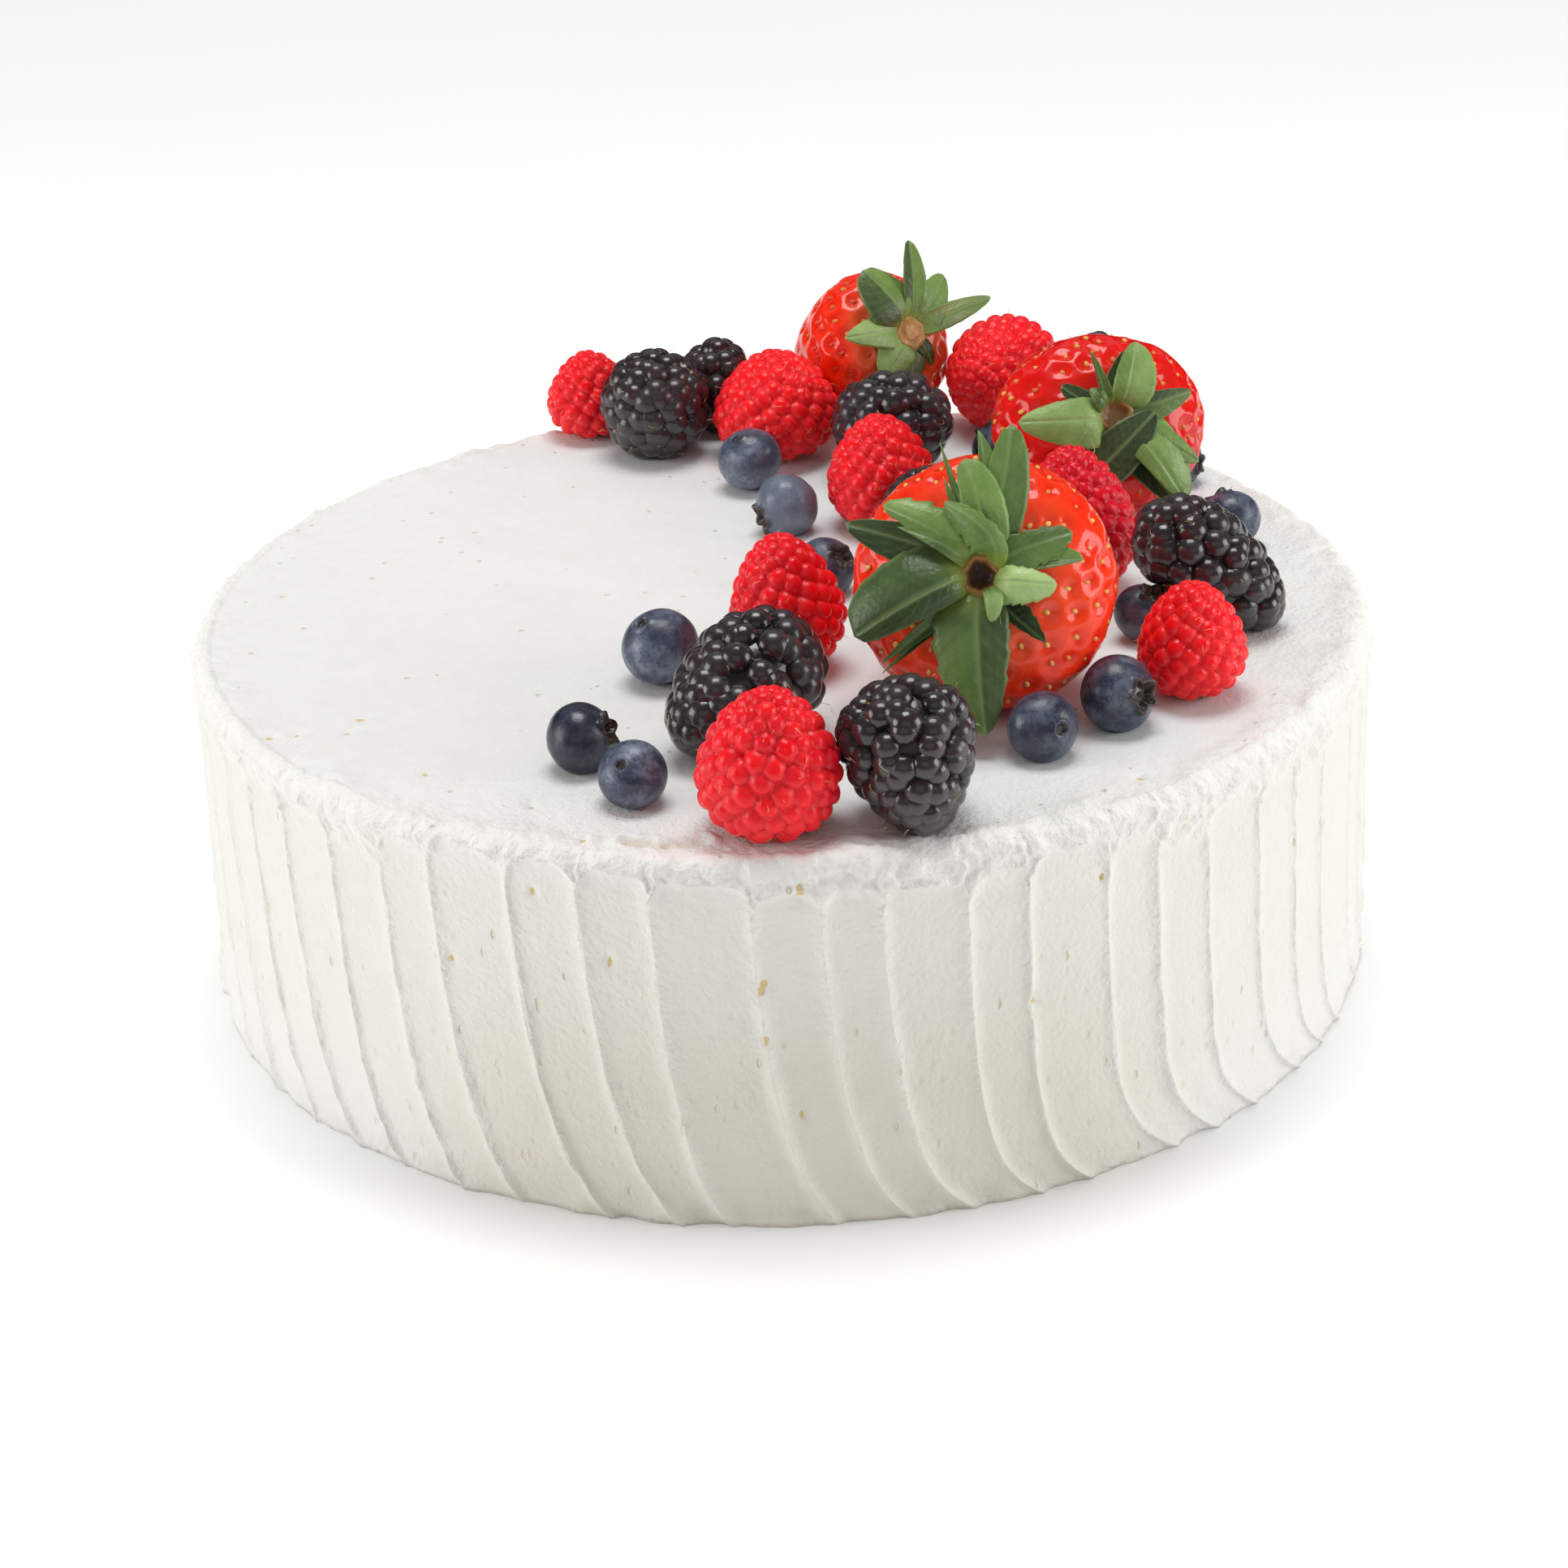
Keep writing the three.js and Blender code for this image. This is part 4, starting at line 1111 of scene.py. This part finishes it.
LEAVES = {
    "strawberry_front": [
        Leaf((2.6, 7), (-0.8, 25.4), (1.2, 3.6), (0.7, 0.7), (2.0, 1.0), (0.1, 0.0), (0.50, 0.52)),
        Leaf((3.4, 8), (5.0, 26.3), (3.4, 4.6), (0.75, 0.5), (2.8, 2.0), (-0.1, -0.2), (0.50, 0.45)),
        Leaf((2.4, 8), (-3.2, 20.0), (3.2, 4.4), (0.6, 0.42), (4.0, 3.6), (-0.1, -0.2), (0.56, 0.62)),
        Leaf((6.5, 5.4), (-6.2, 12.4), (4.6, 2.0), (0.55, 0.5), (6.4, 6.0), (-0.7, -0.2), (0.50, 0.56),
             teeth=0.2),
        Leaf((-1.8, 7), (-7.3, 23), (1.0, 0.9), (0.7, 0.9), (2.0, 2.5), (0.3, 0.3), (0.52, 0.52)),
        Leaf((-3, 8), (-6.6, 17), (1.0, 0.9), (0.7, 0.9), (3.0, 3.5), (0.3, 0.3), (0.45, 0.45)),
        Leaf((-5, 7), (-17.1, 12), (2.4, 4.8), (0.5, 0.5), (3.6, 3.0), (-0.3, -0.4), (0.55, 0.66),
             teeth=0.2),
        Leaf((-5, 5.5), (-14.4, 8.2), (1.5, 2.0), (0.6, 0.9), (3.4, 3.5), (0.1, -0.2), (0.45, 0.55)),
        Leaf((-5, 4), (-23.8, 9), (4.4, 3.2), (0.75, 0.6), (1.2, 0.5), (-0.1, 0.1), (0.14, 0.20)),
        Leaf((-5, -0.6), (-21.8, -10.8), (3.6, 8.8), (0.5, 0.34), (5.0, 2.5), (-0.4, -0.45), (0.16, 0.28)),
        Leaf((-3.6, -5), (-17, -15.2), (1.5, 1.7), (0.7, 0.8), (1.0, 0.6), (0.4, 0.3), (0.20, 0.34)),
        Leaf((-3.2, -4.6), (-17, -17), (1.2, 1.0), (0.7, 0.9), (0.4, 0.2), (0.3, 0.3), (0.16, 0.16)),
        Leaf((-1.2, -7), (1.1, -27.8), (5.8, 8.0), (0.6, 0.6), (3.2, 0.0), (-0.2, -0.2), (0.30, 0.42),
             teeth=0.1),
        Leaf((2, -7), (4.3, -20.8), (1.6, 2.0), (0.7, 0.9), (2.4, 0.6), (0.0, 0.0), (0.28, 0.28)),
        Leaf((3.8, -5.6), (11.5, -11.6), (3.6, 1.6), (0.6, 0.8), (0.4, 1.0), (0.6, 0.5), (0.02, 0.06),
             teeth=0.2),
        Leaf((4, -1.2), (13.3, -1.6), (2.9, 4.2), (0.5, 0.5), (4.4, 3.0), (-0.5, -0.6), (0.96, 0.92),
             teeth=0.12),
        Leaf((2.6, -3), (2.0, -8.2), (2.0, 1.4), (0.5, 0.5), (4.0, 3.4), (-0.4, -0.4), (0.80, 0.80)),
        Leaf((4.5, 4), (15.8, 7.6), (3.2, 4.4), (0.5, 0.45), (3.0, 2.0), (-0.2, 0.1), (0.42, 0.46),
             teeth=0.2),
        Leaf((5, 2.5), (17.8, 3.0), (3.6, 1.7), (0.55, 0.55), (2.7, 2.2), (-0.1, 0.2), (0.58, 0.40)),
    ],
    "strawberry_right": [
        Leaf((-4, -1.6), (-19.1, 0.2), (5.3, 4.5), (0.46, 0.55), (4.0, 2.0), (-0.3, -0.3), (0.68, 0.72)),
        Leaf((-3, 1), (-9.4, 6.6), (2.2, 2.2), (0.5, 0.42), (0.8, 0.5), (0.0, 0.1), (0.10, 0.16)),
        Leaf((-1.8, 2), (-3.7, 12.2), (1.2, 1.3), (0.6, 0.8), (3.2, 4.0), (0.9, 0.7), (0.12, 0.55)),
        Leaf((-2, 1.4), (-4.6, 5), (1.6, 1.7), (0.5, 0.5), (3.6, 3.6), (-0.3, -0.3), (0.42, 0.46)),
        Leaf((0.2, 2), (3.9, 12.2), (2.8, 1.4), (0.6, 0.65), (0.8, 0.8), (0.1, 0.1), (0.16, 0.22)),
        Leaf((2.4, 2), (6.0, 13.4), (3.0, 5.2), (0.75, 0.5), (3.0, 2.4), (-0.2, -0.1), (0.62, 0.70)),
        Leaf((3.6, 0), (15.9, 3.1), (2.4, 3.5), (0.55, 0.6), (1.8, 1.0), (0.1, -0.1), (0.30, 0.42)),
        Leaf((1.0, -6.4), (7.4, -0.7), (4.4, 4.8), (0.35, 0.62), (2.0, 4.0), (0.0, -0.1), (0.17, 0.11),
             root=(-5.6, -11.2)),
        Leaf((4, -3.4), (15.5, -10.8), (3.4, 3.6), (0.5, 0.6), (2.4, 1.0), (-0.2, 0.0), (0.58, 0.50)),
        Leaf((5, -6), (11.8, -18.2), (6.6, 3.0), (0.45, 0.55), (3.0, 1.0), (-0.25, -0.2), (0.66, 0.56)),
        Leaf((1.2, -5), (11.2, -19.2), (1.4, 3.6), (0.6, 0.7), (0.2, -1.0), (0.1, 0.1), (0.0, 0.0)),
    ],
    "strawberry_back": [
        Leaf((1.6, 3), (7.7, 18.5), (3.6, 2.6), (1.2, 0.55), (2.4, 1.5), (0.45, 0.25), (0.30, 0.58)),
        Leaf((-1.2, 3), (-5.9, 15.1), (6.6, 6.2), (0.5, 0.45), (3.4, 1.0), (-0.25, -0.3), (0.30, 0.58)),
        Leaf((-3, 1), (-16, 2.6), (3.8, 4.3), (0.45, 0.65), (2.0, 1.0), (-0.1, -0.2), (0.66, 0.76)),
        Leaf((-2.6, -1.4), (-9.9, -7.3), (4.4, 4.4), (0.45, 0.45), (2.0, 0.5), (-0.2, -0.2), (0.62, 0.68)),
        Leaf((-0.2, -3.2), (-3.2, -9.6), (3.6, 4.2), (0.45, 0.45), (1.4, 0.5), (0.0, -0.1), (0.22, 0.28)),
        Leaf((2.4, -3), (3.4, -8), (2.0, 2.0), (0.6, 0.7), (1.4, 0.5), (0.0, 0.0), (0.10, 0.10)),
        Leaf((4, 2), (13.3, 9.6), (4.2, 4.2), (0.5, 0.55), (2.4, 1.5), (-0.1, 0.0), (0.60, 0.56)),
        Leaf((5, 1), (23.5, 2.2), (2.3, 2.8), (0.65, 0.65), (2.6, 1.5), (0.2, 0.1), (0.62, 0.50)),
    ],
}
LEAF_GRID = (40, 17)
LEAF_THICKNESS = 0.45
LEAF_TEETH = 7
LEAF_BRANCHES = 9
RIB_WIDTH = 0.28
VEIN_DEPTH = 0.16
HUB_REACH = 2.0
HUB_COLUMNS = 36
LEAF_FOOT = 0.8
FREE_LEAF_FOOT = 0.6
# How much of each cut stalk is a hollow, whose middle is painted near-black as shade
STALK_HOLLOW = {"strawberry_front": 1.0, "strawberry_right": 0.7, "strawberry_back": 0.15}


def stalk_turn(stalk):
    up = unit(stalk)
    right = unit(np.cross((0, 0, 1), up))
    over = np.cross(up, right)
    return np.stack([right, over, up], axis=1)


def strawberry_surface(ways, width, height, length):
    below = length * STRAWBERRY_TIP_SHARE
    swell = 1 + STRAWBERRY_TAPER * ways[:, 2]
    reach = np.where(ways[:, 2] > 0, length - below, below)
    return triples(width / 2 * ways[:, 0] * swell, height / 2 * ways[:, 1] * swell, ways[:, 2] * reach)


def add_strawberry(name, table_row, flesh, seed_skin, leaf_skin):
    width, height, length, stalk, seed_count, tone, seed_red, shoulder_and_reflection = table_row
    ways = ball_grid(*STRAWBERRY_GRID)
    surface = strawberry_surface(ways, width, height, length)
    seed_ways = spread_over_ball(seed_count)
    seed_ways = unit_rows(seed_ways + random_numbers.normal(0, SEED_JITTER, seed_ways.shape))
    seeds = strawberry_surface(seed_ways[seed_ways[:, 2] < SEED_TOP], width, height, length)
    middle = np.array([0, 0, -0.05 * length])
    nearest = np.min(np.linalg.norm(surface[:, None, :] - seeds[None, :, :], axis=2), axis=1)
    dent = bell(nearest, DENT_WIDTH)
    pillow = smoothstep(nearest, 0.8, 2.8)
    lumps = 0.5 * rumple(surface, 14, len(name)) + 0.22 * rumple(surface, 5, len(name) + 7)
    swell = lumps - DENT_DEPTH * dent + PILLOW_HEIGHT * pillow
    body = surface + unit_rows(surface - middle) * swell[:, None]
    flat = length * (1 - STRAWBERRY_TIP_SHARE) - CROWN_FLAT
    body[:, 2] = np.minimum(body[:, 2], flat)
    placing = Placing(body, stalk_turn(stalk), name)
    marks = {
        # pit also sets the painted shade in the dents round the seeds
        "pit": dent,
        # Paler towards the calyx, the berry's own colour, and on strawberry_back also a painted reflection
        "shoulder_and_reflection": smoothstep(ways[:, 2], 0.62, 0.98) * shoulder_and_reflection,
        "tone": np.full(len(body), tone),
    }
    fruit = make_piece(name + "_fruit", placing.put(body), grid_faces(*STRAWBERRY_GRID), flesh, marks)
    dress(fruit, name)
    add_seeds(name, seeds, unit_rows(seeds - middle), placing, seed_red, seed_skin)
    add_calyx(name, placing, flat + CALYX_GAP, leaf_skin)


def add_seeds(name, seeds, outward, placing, seed_red, material):
    ball_points, ball_faces = icosphere(2)
    along = unit_rows(np.cross(np.cross(outward, (0, 0, 1.0)), outward))
    axes = (along, np.cross(along, outward), outward)
    cloud = copies(seeds - outward * SEED_SUNK, axes, ball_points, SEED_SIZES)
    faces = copied_faces(ball_faces, len(ball_points), len(seeds))
    placed = placing.put(cloud.reshape(-1, 3))
    red = np.clip(seed_red + random_numbers.uniform(-0.4, 0.4, len(seeds)), 0, 1)
    marks = {"red": np.repeat(red, len(ball_points))}
    dress(make_piece(name + "_seeds", placed, faces, material, marks))


def leaf_shape(leaf, number):
    """One leaf that grows out from the stalk of a calyx, as a thin closed sheet."""
    rows, columns = LEAF_GRID
    along = np.linspace(0, 1, rows)[:, None]
    across = np.linspace(-1, 1, columns)[None, :]
    level = np.zeros(LEAF_GRID)
    away = np.abs(across)
    on_left = across > 0
    root = leaf.root or HUB_REACH * unit(leaf.start)
    foot = FREE_LEAF_FOOT if leaf.root else LEAF_FOOT
    rib_line = [(1 - along) ** 2 * a + 2 * along * (1 - along) * b + along**2 * c
                for a, b, c in zip(root, leaf.start, leaf.tip)]
    way_x, way_y = [(1 - along) * (b - a) + along * (c - b) for a, b, c in zip(root, leaf.start, leaf.tip)]
    way = np.hypot(way_x, way_y)
    base, end = leaf.rounding
    broadest = base / (base + end)
    full = (along / broadest) ** base * ((1 - along) / (1 - broadest)) ** end
    side = np.where(on_left, leaf.widths[0], leaf.widths[1])
    half = np.maximum(side * full + 0.8 * (1 - along) ** 4, 0.06)
    tooth = (LEAF_TEETH * along + 0.37 * number + 0.5 * on_left) % 1
    ragged = 1 - leaf.teeth * tooth * away**4 * smoothstep(along, 0.25, 0.6)
    sideways = half * across * ragged
    rib = bell(across * half, RIB_WIDTH)
    lines = bell(away - 0.34, 0.06) + bell(away - 0.66, 0.06)
    wander = 0.4 * number + 0.3 * np.sin(7 * along + 2 * across + number)
    slant = LEAF_BRANCHES * along - 1.8 * away + wander
    branches = 0.4 * bell(slant - np.round(slant), 0.12)
    fine = 0.5 * (0.3 * lines + branches) * (1 - rib) * smoothstep(full, 0.15, 0.6)
    vein = np.clip(rib + fine, 0, 1)
    curl = np.where(on_left, leaf.curls[0], leaf.curls[1])
    wave = 0.35 * np.sin(6 * along + 1.3 * number + 2 * np.sign(across)) * across**2 * full
    height = foot + 4 * leaf.heights[0] * along * (1 - along) + leaf.heights[1] * along**2
    top = height + curl * half * across**2 + wave - VEIN_DEPTH * vein
    thick = LEAF_THICKNESS * (1 - 0.6 * away)
    x = rib_line[0] - way_y / way * sideways
    y = rib_line[1] + way_x / way * sideways
    points = np.concatenate([triples(x, y, top), triples(x, y, top - thick)])
    size = rows * columns
    front = grid_faces(rows, columns, closed=False)
    index = np.arange(size).reshape(rows, columns)
    loop = np.concatenate([index[0, :-1], index[:-1, -1], index[-1, :0:-1], index[:0:-1, 0]])
    after = np.roll(loop, -1)
    wall = triples(loop, after, after + size), triples(loop, after + size, loop + size)
    faces = np.concatenate([front[:, ::-1], front + size, *wall])
    pale = smoothstep(0.4 - along, 0, 0.4) + level
    edge = smoothstep(away, 0.88, 1.0) + level
    left = smoothstep(across, -0.08, 0.08)
    # The tone of each half is partly the leaf's own green and partly painted light and shade.
    tone = (leaf.tones[0] * left + leaf.tones[1] * (1 - left) + level).ravel()
    marks = {
        "vein": np.tile(np.maximum(vein, 0.8 * edge).ravel(), 2),
        "base": np.tile(pale.ravel() * (0 if leaf.root else 0.7), 2),
        "tone": np.concatenate([tone, np.minimum(tone + 0.2, 1)]),
        "stalk": np.zeros(size * 2),
    }
    return points, faces, marks


def hub_shape(hollow):
    """The stalk's cut end: a brown collar round a hollow whose dark middle is painted shade, or a blunt nub
    where the hollow is slight.
    """
    floor = 3.2 - 2.2 * hollow
    middle = max(hollow, 0.45)
    # Each ring is (radius, height, how brown it is), the darkest brown in the hollow being painted shade
    profile = (
        (0.05, floor, middle), (1.2, floor + 0.1, middle), (2.0, floor + 0.5 * hollow, 0.85 * middle + 0.1),
        (2.5, 2.4, 0.6 * middle + 0.15), (2.9, 2.7, 0.45), (3.4, 2.5, 0.38), (3.9, 2.1, 0.3),
        (4.5, 1.6, 0.2), (5.2, 0.9, 0.0), (5.2, 0.0, 0.0),
    )
    around = np.linspace(0, 2 * math.pi, HUB_COLUMNS, endpoint=False)
    rings = []
    for radius, height, _ in profile:
        ripple = 0.07 * np.sin(3 * around + radius) + 0.04 * np.sin(7 * around) + 0.03 * np.sin(11 * around)
        level = height + 0.06 * radius * np.sin(4 * around + 2 * radius)
        reach = radius * (1 + ripple)
        rings.append(triples(reach * np.cos(around), reach * np.sin(around), level))
    points = np.concatenate(rings)
    marks = {
        "vein": np.zeros(len(points)),
        "base": np.full(len(points), 0.6),
        "tone": np.full(len(points), 0.5),
        "stalk": np.repeat([brown for _, _, brown in profile], HUB_COLUMNS),
    }
    return points, grid_faces(len(profile), HUB_COLUMNS)[:, ::-1], marks


def add_calyx(name, placing, lift, material):
    shapes = [leaf_shape(leaf, number) for number, leaf in enumerate(LEAVES[name])]
    shapes.append(hub_shape(STALK_HOLLOW[name]))
    points = []
    faces = []
    first = 0
    for shape_points, shape_faces, _ in shapes:
        points.append(shape_points)
        faces.append(shape_faces + first)
        first += len(shape_points)
    placed = placing.put(np.concatenate(points) + (0, 0, lift))
    marks = {key: np.concatenate([shape[2][key] for shape in shapes]) for key in shapes[0][2]}
    piece = make_piece(name + "_leaves", placed, np.concatenate(faces), material, marks)
    dress(piece, name + "_calyx")


def add_strawberries():
    skins = strawberry_material(), seed_material(), leaf_material()
    for name, row in STRAWBERRIES.items():
        add_strawberry(name, row, *skins)


add_camera()
add_stage()
add_cream()
add_clustered_berries()
add_blueberries()
add_strawberries()
